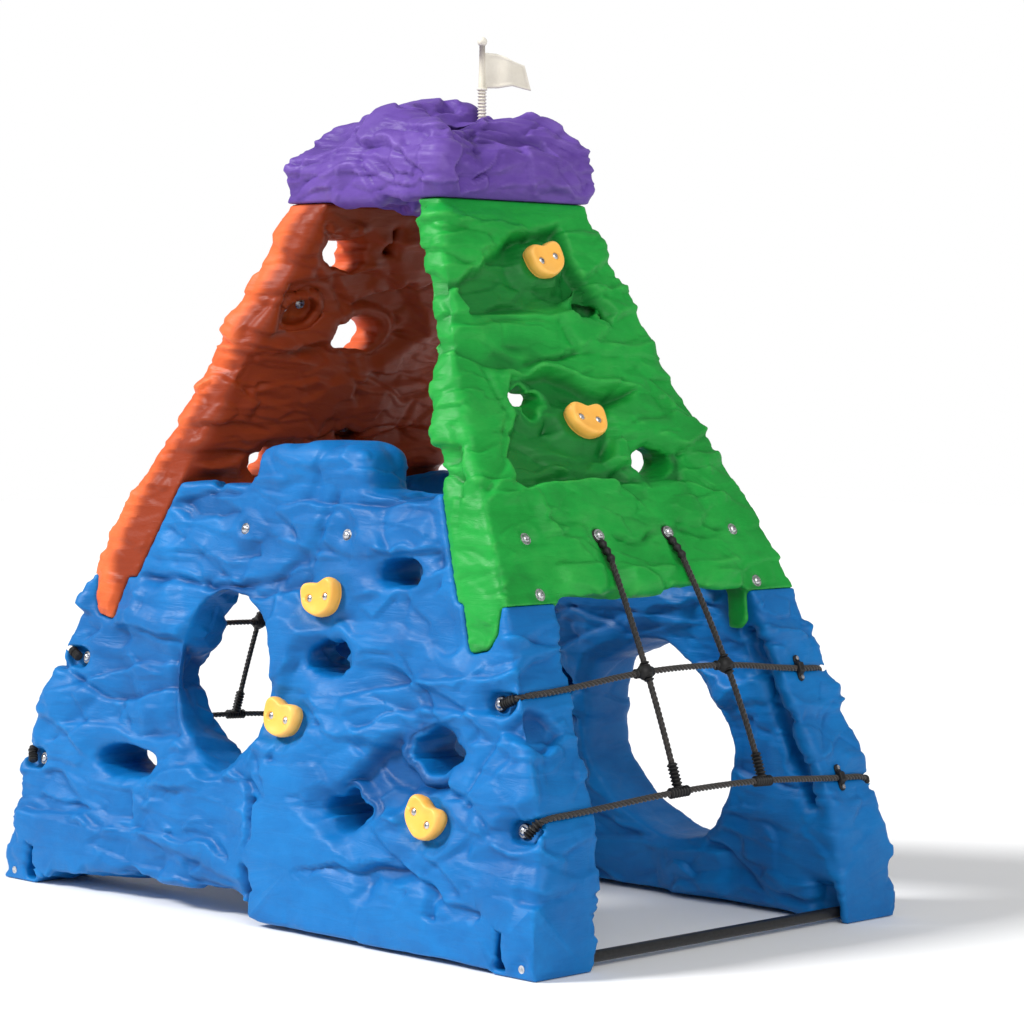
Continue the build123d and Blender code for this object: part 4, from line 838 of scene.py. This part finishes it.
rightRock = {
    "voxel": 0.0044, "seed": 5, "round": 20, "folds": 0.0013,
    "plates": [(0.140, (1.3, 1.6, 0.65), 70, 1.2, 0.0075, 0.004), (0.062, (1.2, 1.7, 0.5), 50, 1.4, 0.0032,
        0.002)],
    "facets": [(0.190, 0.013), (0.090, 0.0040), (0.040, 0.0010)],
    "beds": [(0.100, 0.0105), (0.043, 0.0030)],
    "holes": {"+x": [(-115, 886, 36, 26, 7), (127, 782, 44, 27, 7)]},
    "marks": {
        "+x": [
            ("boulder", [(-190, 1069), (-121, 1127), (-31, 1168), (95, 1186), (104, 1133), (130, 1075),
                (150, 1020), (70, 1040), (-60, 1036), (-180, 1034)], -17, 22),
            ("boulder", [(98, 1133), (125, 1100), (170, 1035), (150, 1016), (96, 1030), (84, 1090)], -9,
                18),
            ("boulder", [(-136, 925), (-36, 936), (40, 912), (150, 906), (66, 872), (24, 791), (50, 757),
                (-121, 752), (-226, 738), (-222, 795), (-166, 848)], -17, 22),
            ("boulder", [(60, 812), (150, 818), (212, 800), (170, 748), (90, 742)], -12, 20),
            ("boulder", [(-60, 948), (20, 930), (120, 926), (165, 906), (60, 916), (-20, 936), (-110, 934)],
                7, 16),
            ("boulder", [(212, 905), (262, 850), (300, 790), (250, 760), (205, 800), (196, 860)], 9, 26),
            ("ledge", [(-228, 1010), (-35, 1026), (70, 1044)], 5, 30),
            ("ledge", [(80, 986), (235, 984)], 5, 30),
            ("ledge", [(-275, 730), (-121, 752), (-11, 752), (176, 747), (319, 700)], 6, 40),
            ("crack", [(-241, 696), (-126, 682), (-46, 658), (154, 662), (300, 674)], 3, 6),
            ("ledge", [(-205, 622), (-113, 616), (-38, 608), (128, 612), (307, 628)], 5, 26),
            ("crack", [(-198, 941), (-180, 860), (-240, 790), (-300, 742)], 4, 8),
        ],
    },
}

leftRock = {
    "voxel": 0.0044, "seed": 83, "round": 20, "folds": 0.0014,
    "inside": "-x",
    "plates": [(0.140, (1.3, 1.6, 0.65), 70, 1.2, 0.0080, 0.004), (0.062, (1.2, 1.7, 0.5), 50, 1.4, 0.0032,
        0.002)],
    "facets": [(0.190, 0.014), (0.090, 0.0042), (0.040, 0.0010)],
    "beds": [(0.096, 0.0120), (0.041, 0.0032)],
    "holes": {"-x": [(92, 1145, 46, 30, 8), (0, 1000, 60, 32, 9), (118, 768, 58, 36, 9)]},
    "marks": {
        "+x": [
            ("boulder", [(-200, 1080), (-60, 1120), (90, 1090), (150, 1000), (60, 950), (-120, 960),
                (-210, 1000)], -12, 30),
            ("ledge", [(-230, 900), (-80, 930), (60, 900), (230, 910)], 6, 40),
            ("ledge", [(-290, 770), (-120, 800), (60, 780), (290, 800)], 6, 40),
            ("crack", [(-160, 1180), (-60, 1060), (-20, 960), (40, 880)], 4, 8),
        ],
        "-x": [
            ("boulder", [(-170, 1050), (-40, 1090), (110, 1060), (140, 960), (0, 930), (-150, 960)], -12,
                26),
            ("ledge", [(-260, 880), (-60, 910), (120, 880), (260, 890)], 6, 40),
        ],
    },
}

rockMoulding("front_rock_wall", "front_wall", "frame", blue, frontRock)
rockMoulding("back_rock_wall", "back_wall", "frame", blue, backRock)
rockMoulding("right_rock_panel", "right_upper_wall", "frame", green, rightRock)
rockMoulding("left_rock_panel", "left_upper_wall", "frame", orange, leftRock)

capRock = {
    "voxel": 0.0040, "seed": 64, "round": 16, "folds": 0.0012,
    "plates": [(0.120, (1.4, 1.3, 0.6), 70, 1.3, 0.0100, 0.004), (0.054, (1.5, 1.5, 0.45), 50, 1.4, 0.0036,
        0.002)],
    "facets": [(0.150, 0.018), (0.070, 0.0060), (0.034, 0.0012)],
    "beds": [(0.064, 0.0060), (0.030, 0.0040)],
}
rockMoulding("summit_rock_cap", "summit_cap", "frame", purple, capRock)

# bolts, washers and ribs: node trees that repeat a shape on points or along a path


def newTree(name, inputs):
    tree = bpy.data.node_groups.new(name, "GeometryNodeTree")
    tree.interface.new_socket("Geometry", in_out="INPUT", socket_type="NodeSocketGeometry")
    for label, value in inputs.items():
        kind = "NodeSocketInt" if isinstance(value, int) else "NodeSocketFloat"
        tree.interface.new_socket(label, in_out="INPUT", socket_type=kind).default_value = value
    tree.interface.new_socket("Geometry", in_out="OUTPUT", socket_type="NodeSocketGeometry")
    return tree, tree.nodes.new("NodeGroupInput").outputs, tree.nodes.new("NodeGroupOutput").inputs[0]


def wired(tree, kind, settings=None, **sources):
    # adds a node, sets its options, and feeds its inputs from values or other outputs
    made = tree.nodes.new(kind)
    for key, value in (settings or {}).items():
        setattr(made, key, value)
    for key, value in sources.items():
        socket = made.inputs[int(key[1:])] if key[0] == "_" else made.inputs[key.replace("_", " ")]
        if isinstance(value, bpy.types.NodeSocket):
            tree.links.new(value, socket)
        else:
            socket.default_value = value
    return made.outputs[0]


def sums(tree, how, first, second):
    return wired(tree, "ShaderNodeMath", {"operation": how}, _0=first, _1=second)


def onAimedPoints(tree, points, shape, material, out):
    aim = wired(tree, "GeometryNodeInputNamedAttribute", {"data_type": "FLOAT_VECTOR"}, Name="aim")
    turn = wired(tree, "FunctionNodeAlignRotationToVector", {"axis": "Z"}, Vector=aim)
    copies = wired(tree, "GeometryNodeInstanceOnPoints", Points=points, Instance=shape, Rotation=turn)
    real = wired(tree, "GeometryNodeRealizeInstances", Geometry=copies)
    tree.links.new(wired(tree, "GeometryNodeSetMaterial", Geometry=real, Material=material), out)


def boltTree(material):
    # button head with a hex socket, on its shank
    tree, size, out = newTree("button bolts", {"Head radius": 0.0075, "Head height": 0.005,
        "Socket": 0.0026, "Shank radius": 0.004, "Shank length": 0.05})
    flat = sums(tree, "DIVIDE", size["Head height"], size["Head radius"])
    ball = wired(tree, "GeometryNodeMeshUVSphere", Segments=28, Rings=14, Radius=size["Head radius"])
    dome = wired(tree, "GeometryNodeTransform", Geometry=ball, Scale=wired(tree, "ShaderNodeCombineXYZ",
        X=1.0, Y=1.0, Z=flat))
    rod = wired(tree, "GeometryNodeMeshCylinder", Vertices=20, Radius=size["Shank radius"],
        Depth=size["Shank length"])
    down = wired(tree, "ShaderNodeCombineXYZ", Z=sums(tree, "MULTIPLY", size["Shank length"], -0.5))
    shank = wired(tree, "GeometryNodeTransform", Geometry=rod, Translation=down)
    hexagon = wired(tree, "GeometryNodeMeshCylinder", Vertices=6, Radius=size["Socket"],
        Depth=size["Head height"])
    raised = wired(tree, "GeometryNodeTransform", Geometry=hexagon, Translation=wired(tree,
        "ShaderNodeCombineXYZ", Z=size["Head height"]))
    whole = wired(tree, "GeometryNodeMeshBoolean", {"operation": "UNION"}, _1=dome)
    tree.links.new(shank, whole.node.inputs[1])
    bored = wired(tree, "GeometryNodeMeshBoolean", {"operation": "DIFFERENCE"}, _0=whole, _1=raised)
    onAimedPoints(tree, size["Geometry"], bored, material, out)
    return tree


def washerTree(material):
    # flat ring with rounded edges
    tree, size, out = newTree("rings", {"Bore": 0.0042, "Radius": 0.011, "Thickness": 0.0016,
        "Edge": 0.0005})
    middle = sums(tree, "MULTIPLY", sums(tree, "ADD", size["Bore"], size["Radius"]), 0.5)
    width = sums(tree, "SUBTRACT", size["Radius"], size["Bore"])
    path = wired(tree, "GeometryNodeCurvePrimitiveCircle", Resolution=32, Radius=middle)
    square = wired(tree, "GeometryNodeCurvePrimitiveQuadrilateral", Width=width, Height=size["Thickness"])
    soft = wired(tree, "GeometryNodeFilletCurve", Curve=square, Radius=size["Edge"])
    ring = wired(tree, "GeometryNodeCurveToMesh", Curve=path, Profile_Curve=soft)
    onAimedPoints(tree, size["Geometry"], ring, material, out)
    return tree


def ribbedTree(material):
    # soft sleeve along a path, with rounded ribs and closed ends
    tree, size, out = newTree("ribbed sleeve", {"Radius": 0.0085, "Rib height": 0.0014, "Ribs": 6})
    line = wired(tree, "GeometryNodeMeshToCurve", Mesh=size["Geometry"])
    steps = sums(tree, "ADD", sums(tree, "MULTIPLY", size["Ribs"], 8), 1)
    fine = wired(tree, "GeometryNodeResampleCurve", Curve=line, Count=steps)
    along = wired(tree, "GeometryNodeSplineParameter")
    wave = sums(tree, "COSINE", sums(tree, "MULTIPLY", sums(tree, "MULTIPLY", along, size["Ribs"]),
        2 * math.pi), 0)
    grooved = sums(tree, "SUBTRACT", size["Radius"], sums(tree, "MULTIPLY", sums(tree, "ADD", wave, 1),
        size["Rib height"]))
    loop = wired(tree, "GeometryNodeCurvePrimitiveCircle", Resolution=20, Radius=1.0)
    tube = wired(tree, "GeometryNodeCurveToMesh", Curve=fine, Profile_Curve=loop, Scale=grooved,
        Fill_Caps=True)
    smooth = wired(tree, "GeometryNodeSetShadeSmooth", _0=tube)
    real = wired(tree, "GeometryNodeRealizeInstances", Geometry=smooth)
    tree.links.new(wired(tree, "GeometryNodeSetMaterial", Geometry=real, Material=material), out)
    return tree


def grown(name, mesh, tree, **sizes):
    # runs a node tree over the mesh and keeps the result as a plain mesh
    holder = addObject(name + " points", mesh)
    mod = holder.modifiers.new("shape", "NODES")
    mod.node_group = tree
    for item in tree.interface.items_tree:
        if item.item_type == "SOCKET" and item.in_out == "INPUT" and item.name.replace(" ", "") in sizes:
            mod[item.identifier] = sizes[item.name.replace(" ", "")]
    result = bpy.data.meshes.new_from_object(holder.evaluated_get(bpy.context.evaluated_depsgraph_get()))
    bpy.data.objects.remove(holder)
    result.name = name
    result.shade_smooth()
    result.set_sharp_from_angle(angle=math.radians(38))
    return addObject(name, result)


def aimedPoints(name, places):
    mesh = bpy.data.meshes.new(name)
    mesh.from_pydata([tuple(p) for p, _ in places], [], [])
    mesh.attributes.new("aim", "FLOAT_VECTOR", "POINT").data.foreach_set("vector",
        np.array([a for _, a in places]).ravel())
    return mesh


def pathMesh(name, lines):
    points, edges = [], []
    for line in lines:
        base = len(points)
        points += [tuple(p) for p in line]
        edges += [(base + i, base + i + 1) for i in range(len(line) - 1)]
    mesh = bpy.data.meshes.new(name)
    mesh.from_pydata(points, edges, [])
    return mesh


def axesOf(node, flat=False):
    # outer end and outward direction of every bolt in a CAD node, or a washer's middle and direction
    found = []
    for pts, _ in solidsOf(node):
        middle = (pts.max(0) + pts.min(0)) / 2 if flat else pts.mean(0)
        spread = pts - middle
        axis = np.linalg.eigh(spread.T @ spread)[1][:, 0 if flat else -1]
        t = spread @ axis
        radial = np.linalg.norm(spread - t[:, None] * axis, axis=1)
        if flat:
            axis = axis * (1 if axis[:2] @ middle[:2] > 0 else -1)
            found.append((middle, axis))
            continue
        if radial[t > t.max() - 0.002].max() < radial[t < t.min() + 0.002].max():
            axis, t = -axis, -t
        foot = middle - axis * (spread @ axis).mean()
        found.append((foot + axis * t.max(), axis, t.max() - t.min()))
    return found


bolts = boltTree(steel)
rings = washerTree(steel)
blackRings = washerTree(blackRubber)
sleeves = ribbedTree(blackRubber)
wallBolt = {"HeadRadius": 0.0078, "HeadHeight": 0.005, "Socket": 0.0030, "ShankRadius": 0.004}
boltSizes = dict.fromkeys(("corner_bolts", "panel_bolts", "anchor_bolts", "hanger_bolts"), wallBolt)
boltSizes["handhold_bolts"] = {"HeadRadius": 0.0055, "HeadHeight": 0.004, "Socket": 0.0023,
    "ShankRadius": 0.003}
boltPlaces = {}
for group, sizes in boltSizes.items():
    boltPlaces[group] = axesOf(group)
    long = float(boltPlaces[group][0][2]) - sizes["HeadHeight"]
    seats = [(tip - axis * sizes["HeadHeight"], axis) for tip, axis, _ in boltPlaces[group]]
    piece = grown(group.replace("bolts", "button_bolts"), aimedPoints(group, seats), bolts,
        ShankLength=long, **sizes)
    finishPiece(piece, "frame", None, [group])
for group in ("corner_washers", "panel_washers", "anchor_washers", "hanger_washers"):
    piece = grown(group + "_rounded", aimedPoints(group, axesOf(group, True)), rings)
    finishPiece(piece, "frame", None, [group])
print("bolts and washers placed:", sum(len(p) for p in boltPlaces.values()))

# net fittings: ribbed boots and eyes at the anchors, crimped eyes above, ball crosses and tees on the ropes

netFittings = {"boot": 0.030, "bootBack": 0.016, "eyeSink": 0.0096, "bootRadius": 0.0088, "eyeBore": 0.0045,
    "eyeRadius": 0.0125, "eyeThickness": 0.0055, "cross": 0.046, "tee": 0.046, "ball": 0.0145}


def stretchOf(line, near, reach):
    # the part of a rope's line that lies within reach of a point
    return line[np.linalg.norm(line - near, axis=1) < reach]


def placedLathe(profile, spot, axis, count=24):
    pts, faces = lathe(profile, count)
    turn = np.array(Vector((0, 0, 1)).rotation_difference(Vector(axis)).to_matrix())
    return np.array(pts) @ turn.T + spot, faces


def ballProfile(radius, squash=1.0, steps=12):
    return [(0 if i in (0, steps) else radius * math.sin(math.pi * i / steps),
        -radius * squash * math.cos(math.pi * i / steps)) for i in range(steps + 1)]


def nearest(places, spot):
    return min(places, key=lambda p: np.linalg.norm(p[0] - spot))


for side in netSides:
    boots, eyes = [], []
    for level in ("upper", "lower"):
        line = ropeLines[f"{side}_{level}_rope"]
        for end in (line, line[::-1]):
            along = end[0] - end[4]
            along /= np.linalg.norm(along)
            tip, axis, _ = nearest(boltPlaces["anchor_bolts"], end[0])
            back = end[0] + along * netFittings["bootBack"]
            boots.append(np.concatenate([[back], stretchOf(end, end[0],
                netFittings["boot"] - netFittings["bootBack"])]))
            eyes.append((tip - axis * netFittings["eyeSink"], axis))
    piece = grown(f"{side}_ribbed_boots", pathMesh("boots", boots), sleeves,
        Radius=netFittings["bootRadius"], RibHeight=0.0012, Ribs=6)
    finishPiece(piece, "frame", None, [f"{side}_rope_ends"])
    ringSizes = {"Bore": netFittings["eyeBore"], "Radius": netFittings["eyeRadius"],
        "Thickness": netFittings["eyeThickness"], "Edge": 0.0018}
    finishPiece(grown(f"{side}_anchor_eyes", aimedPoints("eyes", eyes), blackRings, **ringSizes), "frame")
    crimps, loops = [], []
    for place in ("front", "back"):
        line = ropeLines[f"{side}_{place}_hanger_rope"]
        line = line if line[0][2] > line[-1][2] else line[::-1]
        tip, axis, _ = nearest(boltPlaces["hanger_bolts"], line[0])
        loops.append((tip - axis * netFittings["eyeSink"], axis))
        toEye = tip - axis * netFittings["eyeSink"] - line[0]
        crimps.append(np.concatenate([[line[0] + toEye * 0.78, line[0] + toEye * 0.4], line[:5]]))
        upper = ropeLines[f"{side}_upper_rope"]
        lower = ropeLines[f"{side}_lower_rope"]
        crossing = upper[np.argmin([np.linalg.norm(line - p, axis=1).min() for p in upper])]
        onHanger = line[np.argmin(np.linalg.norm(line - crossing, axis=1))]
        arms = [stretchOf(upper, crossing, netFittings["cross"] / 2), stretchOf(line, onHanger, 0.019)]
        piece = grown(f"{side}_{place}_cross_sleeves", pathMesh("arms", arms), sleeves, Radius=0.0084,
            RibHeight=0.0010, Ribs=7)
        finishPiece(piece, "frame", None, [f"{side}_{place}_cross"])
        out = onHanger - crossing
        out /= np.linalg.norm(out)
        profile = ballProfile(netFittings["ball"], 0.86)
        waist = netFittings["ball"] * 1.06
        profile = profile[:6] + [(waist, -0.0009), (waist, 0.0009)] + profile[7:]
        ball = joined(f"{side}_{place}_cross_ball", [placedLathe(profile, (crossing + onHanger) / 2, out)])
        finishPiece(addObject(ball.name, outward(ball)), "frame", blackRubber)
        foot = line[-1]
        joint = lower[np.argmin(np.linalg.norm(lower - foot, axis=1))]
        inner = [foot + (joint - foot) * k for k in (0.3, 0.6, 0.9)]
        stem = np.concatenate([stretchOf(line, foot, 0.004), inner])
        teeLines = [stretchOf(lower, joint, netFittings["tee"] / 2), stem]
        piece = grown(f"{side}_{place}_tee_sleeves", pathMesh("tee", teeLines), sleeves, Radius=0.0092,
            RibHeight=0.0012, Ribs=7)
        finishPiece(piece, "frame", None, [f"{side}_{place}_tee"])
    piece = grown(f"{side}_crimped_ends", pathMesh("crimps", crimps), sleeves, Radius=0.0076,
        RibHeight=0.0008, Ribs=3)
    finishPiece(piece, "frame", None, [f"{side}_hanger_eyes"])
    finishPiece(grown(f"{side}_hanging_eyes", aimedPoints("loops", loops), blackRings, **ringSizes),
        "frame")
print("net fittings made")

# rope clips: a strap with rounded ends and a hump over the rope

clipStrap = {"screwHeight": 0.0062, "width": 0.013, "length": 0.046, "thick": 0.004, "hump": 0.0115,
    "ring": 16, "stations": 33}


def strapMesh(name, spots):
    parts = []
    for middle, axis, along in spots:
        across = np.cross(axis, along)
        pts, faces, rings = [], [], []
        for t in np.linspace(-1, 1, clipStrap["stations"]):
            u = t * clipStrap["length"] / 2
            past = max(0.0, abs(u) - clipStrap["length"] / 2
                + clipStrap["width"] / 2) / (clipStrap["width"] / 2)
            half = clipStrap["width"] / 2 * math.sqrt(max(0.03, 1 - past ** 2))
            top = clipStrap["thick"] + (clipStrap["hump"]
                - clipStrap["thick"]) * float(ease((0.0125 - abs(u)) / 0.006))
            ring = []
            for k in range(clipStrap["ring"]):
                a = 2 * math.pi * (k + 0.5) / clipStrap["ring"]
                c, s = math.cos(a), math.sin(a)
                v = half * math.copysign(abs(c) ** 0.4, c)
                h = top / 2 * (1 + math.copysign(abs(s) ** 0.35, s))
                ring.append(len(pts))
                pts.append(middle + along * u + across * v + axis * h)
            rings.append(ring)
        for low, high in zip(rings, rings[1:]):
            for k in range(len(low)):
                n = (k + 1) % len(low)
                faces.append((low[k], low[n], high[n], high[k]))
        faces += [tuple(reversed(rings[0])), tuple(rings[-1])]
        parts.append((pts, faces))
    return outward(joined(name, parts))


screwPlaces = axesOf("clip_screws")
for side, sign in netSides.items():
    spots = []
    mine = sorted((p for p in screwPlaces if p[0][0] * sign > 0), key=lambda p: p[0][2])
    for low, high in zip(mine[0::2], mine[1::2]):
        along = (high[0] - low[0]) / np.linalg.norm(high[0] - low[0])
        spots.append(((high[0] + low[0]) / 2 - low[1] * clipStrap["screwHeight"], low[1], along))
    piece = addObject(f"{side}_clip_straps", strapMesh(f"{side}_clip_straps", spots))
    finishPiece(piece, "frame", blackRubber, [f"{side}_rope_clips"])
print("clips made")

# handholds: a paw with two ears and a blunt chin, dished round two counterbored screws

paw = {
    # outline: angle in degrees, radius in mm
    "outline": [(0, 40), (22, 44), (38, 43), (55, 34), (75, 26), (95, 25), (112, 31), (128, 42), (145, 45),
        (165, 41), (188, 38), (215, 36), (245, 32), (270, 31), (295, 31), (320, 34), (342, 38)],
    # share of the outline, height in mm, how far the ears lift it
    "rings": [(0.91, 0, 0), (0.935, 0.6, 0), (0.935, 5.2, 0), (0.985, 6.4, 0), (1.0, 8, 0),
        (1.005, 14, 0.2), (0.99, 18.5, 0.5), (0.96, 21.5, 0.8), (0.91, 23.8, 1), (0.85, 24.7, 1),
        (0.77, 24.4, 0.8), (0.66, 23.4, 0.5), (0.52, 22.4, 0.2), (0.36, 21.8, 0), (0.18, 21.6, 0)],
    "earLift": 2.2, "sides": 84, "wellRadius": 6.3, "wellFloor": 18.0, "spacing": 38.0, "headTop": 0.022,
}


def pawShape(mirrored):
    angles, radii = zip(*(paw["outline"] + [(360, paw["outline"][0][1])]))
    a = np.arange(paw["sides"]) * 360 / paw["sides"]
    asked = (180 - a) % 360 if mirrored else a
    fine = np.interp(np.arange(360), angles, radii)
    window = np.hanning(25) / np.hanning(25).sum()
    fine = np.convolve(np.concatenate([fine[-12:], fine, fine[:12]]), window, "valid")
    radius = np.interp(asked, np.arange(361), np.append(fine, fine[0]))
    ears = np.exp(-((asked - 32) / 18) ** 2) + np.exp(-((asked - 137) / 20) ** 2)
    pts, rings = [(0, 0, 0)], [[0]]
    for share, height, lift in paw["rings"]:
        rings.append(list(range(len(pts), len(pts) + len(a))))
        for angle, r, ear in zip(np.radians(a), radius, ears):
            pts.append((share * r * math.cos(angle), share * r * math.sin(angle),
                height + lift * paw["earLift"] * ear))
    rings.append([len(pts)])
    pts.append((0, 0, paw["rings"][-1][1]))
    return outward(meshFrom("paw", np.array(pts) / 1000, bridged(rings, len(a))))


def pawMesh(mirrored):
    holder = addObject("paw", pawShape(mirrored))
    r, floor = paw["wellRadius"] / 1000, paw["wellFloor"] / 1000
    profile = [(0, floor), (r - 0.0002, floor), (r, 0.0205), (r + 0.0004, 0.0212), (r + 0.0022, 0.0236),
        (r + 0.005, 0.032), (0, 0.032)]
    wells = [placedLathe(profile, np.array((x * paw["spacing"] / 2000, 0, 0)), (0, 0, 1), 28) for x in (-1,
        1)]
    cutter = addObject("wells", outward(joined("wells", wells)))
    mod = holder.modifiers.new("wells", "BOOLEAN")
    mod.object, mod.operation, mod.solver = cutter, "DIFFERENCE", "EXACT"
    result = bpy.data.meshes.new_from_object(holder.evaluated_get(bpy.context.evaluated_depsgraph_get()))
    bpy.data.objects.remove(holder)
    bpy.data.objects.remove(cutter)
    return result


pawMeshes = [pawMesh(False), pawMesh(True)]
holdNodes = sorted(name for name in nodes if "handhold_" in name and name[-1].isdigit())
for number, name in enumerate(holdNodes):
    low, high = (np.array(c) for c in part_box(name))
    pair = sorted(boltPlaces["handhold_bolts"], key=lambda p: np.linalg.norm(p[0] - (low + high) / 2))[:2]
    axis = pair[0][1]
    along = pair[1][0] - pair[0][0]
    along /= np.linalg.norm(along)
    rise = np.cross(axis, along)
    if rise[2] < 0:
        along, rise = -along, -rise
    seat = (pair[0][0] + pair[1][0]) / 2 - axis * paw["headTop"]
    mesh = pawMeshes[number % 2].copy()
    co = pointsOf(mesh)
    wobble = 1 + 0.03 * softNoise(co / 0.02 + number * 5.3, 17)
    co = co * np.stack([wobble, wobble, np.ones(len(co))], axis=1)
    mesh.vertices.foreach_set("co", (seat + co[:, :1] * along + co[:, 1:2] * rise + co[:,
        2:] * axis).ravel())
    mesh.name = name + "_paw"
    mesh.shade_smooth()
    mesh.set_sharp_from_angle(angle=math.radians(48))
    finishPiece(addObject(name + "_paw", mesh), "frame", yellow, [name])
print("handholds made:", len(holdNodes))

# flag: pole with collar, ribbed sleeve, ring and ball, and a waving sheet with a raised border

flagShape = {
    "seat": 0.0516, "sleeve": 0.058, "pole": 0.136, "ball": 0.0086, "width": 0.086, "hoist": 0.124,
    "top": [(0, 0), (0.28, -1.5), (0.49, -6), (0.72, -15), (1, -22)], "bottom": [(0, -62), (0.3, -62),
        (0.6, -58), (1, -66)],
    "lean": 0.14, "wave": 0.0042, "thick": 0.0026, "border": 0.0010, "across": 40, "down": 26,
}
flagPoints = pointsOf(nodes["flag"].data)
flagFoot = flagPoints[:, 2].min()
flagAxis = flagPoints[flagPoints[:, 2] < flagFoot + 0.001].mean(0)[:2]
fly = flagPoints[np.argmax(np.linalg.norm(flagPoints[:, :2] - flagAxis, axis=1)), :2] - flagAxis
fly /= np.linalg.norm(fly)
seatPoint = np.array((*flagAxis, flagFoot + flagShape["seat"]))


def poleParts():
    s, p, b = flagShape["sleeve"], flagShape["pole"], flagShape["ball"]
    profile = [(0, -0.0515), (0.0066, -0.0515), (0.0069, -0.0508), (0.0069, 0.0004), (0.0088, 0.0004),
        (0.0092, 0.0010), (0.0092, 0.0030), (0.0086, 0.0035), (0.0062, 0.0038)]
    profile += [(0.0060, s - 0.0005), (0.0086, s), (0.0092, s + 0.0007), (0.0092, s + 0.0033),
        (0.0086, s + 0.004), (0.0066, s + 0.0044), (0.0056, s + 0.04), (0.0049, p)]
    ball = [(b * math.sin(a), p + b * 0.8 - b * math.cos(a)) for a in np.linspace(0.62, math.pi, 12)[:-1]]
    return placedLathe(profile + ball + [(0, p + b * 1.8)], seatPoint, (0, 0, 1), 32)


def sheetParts():
    spec = flagShape
    across, down = spec["across"], spec["down"]
    u, v = np.meshgrid(np.linspace(0, 1, across), np.linspace(0, 1, down), indexing="ij")
    top, bottom = (np.interp(u, *zip(*spec[k])) / 1000 for k in ("top", "bottom"))
    x = 0.004 + u * (spec["width"] - 0.004) * (1 - spec["lean"] * (1 - v))
    z = spec["hoist"] + (1 - v) * top + v * bottom
    wave = spec["wave"] * np.sin(2.3 * math.pi * u + 1.1 * v + 0.4) * ease(u * 1.6)
    edge = np.minimum(np.minimum(u, 1 - u) * 1.4, np.minimum(v, 1 - v))
    border = spec["border"] * (1 - ease((edge - 0.075) / 0.03))
    half = spec["thick"] / 2 + border - 0.0008 * (1 - ease(edge / 0.02))
    side = np.array((-fly[1], fly[0]))
    pts, faces = [], []
    for sign in (1, -1):
        off = wave + sign * half
        place = np.stack([seatPoint[0] + x * fly[0] + off * side[0],
            seatPoint[1] + x * fly[1] + off * side[1], seatPoint[2] + z], axis=-1)
        pts += list(place.reshape(-1, 3))
    layer = across * down
    for i in range(across - 1):
        for j in range(down - 1):
            a, b, c, d = i * down + j, (i + 1) * down + j, (i + 1) * down + j + 1, i * down + j + 1
            faces += [(a, b, c, d), (layer + d, layer + c, layer + b, layer + a)]
    rim = [i * down for i in range(across)] + [(across - 1) * down + j for j in range(1, down)]
    rim += [i * down + down - 1 for i in reversed(range(across - 1))] + list(reversed(range(1, down - 1)))
    for a, b in zip(rim, rim[1:] + rim[:1]):
        faces.append((b, a, layer + a, layer + b))
    return pts, faces


pennant = joined("pennant", [poleParts(), sheetParts()])
finishPiece(addObject("pennant", outward(pennant)), "flag", ivory, ["flag"])
sleeveLine = [seatPoint + np.array((0, 0, h)) for h in (0.004, 0.022, 0.040, flagShape["sleeve"] - 0.001)]
piece = grown("pennant_sleeve", pathMesh("sleeve", [sleeveLine]), ribbedTree(ivory), Radius=0.0082,
    RibHeight=0.0011, Ribs=9)
finishPiece(piece, "flag")
print("flag made")

# the remaining CAD nodes keep their shape and get a finish
for name, obj in nodes.items():
    if obj.hide_render:
        continue
    chosen = steel
    if "floor_tube" in name:
        chosen = blackTube
    elif "inserts" in name:
        chosen = blackRubber
    for slot in obj.material_slots:
        slot.material = chosen

# room and light

floorMesh = meshFrom("floor", [(-14, -14, -0.0006), (14, -14, -0.0006), (14, 14, -0.0006),
    (-14, 14, -0.0006)], [(0, 1, 2, 3)])
floor = addObject("floor", floorMesh)
floorMat, _, floorShader = newMaterial("pale floor")
floorShader.inputs["Base Color"].default_value = (0.92, 0.92, 0.92, 1)
floorShader.inputs["Roughness"].default_value = 0.7
floorMesh.materials.append(floorMat)

# towards each lamp, its strength and how wide it looks, in degrees
lights = {
    "key": {"towards": (-0.50, -0.75, 0.78), "strength": 3.3, "width": 14},
    "fill": {"towards": (0.85, -0.42, 0.66), "strength": 1.5, "width": 44},
}
for name, spec in lights.items():
    lamp = bpy.data.lights.new(name, "SUN")
    lamp.energy, lamp.angle = spec["strength"], math.radians(spec["width"])
    holder = bpy.data.objects.new(name, lamp)
    holder.rotation_euler = Vector(spec["towards"]).to_track_quat("Z", "Y").to_euler()
    bpy.context.collection.objects.link(holder)

world = bpy.data.worlds.new("studio")
bpy.context.scene.world = world
world.use_nodes = True
backdrop = world.node_tree.nodes["Background"]
backdrop.inputs[0].default_value = (1, 1, 1, 1)
seenDirectly = world.node_tree.nodes.new("ShaderNodeLightPath").outputs["Is Camera Ray"]
world.node_tree.links.new(span(world.node_tree, seenDirectly, 0.40, 1.0), backdrop.inputs[1])
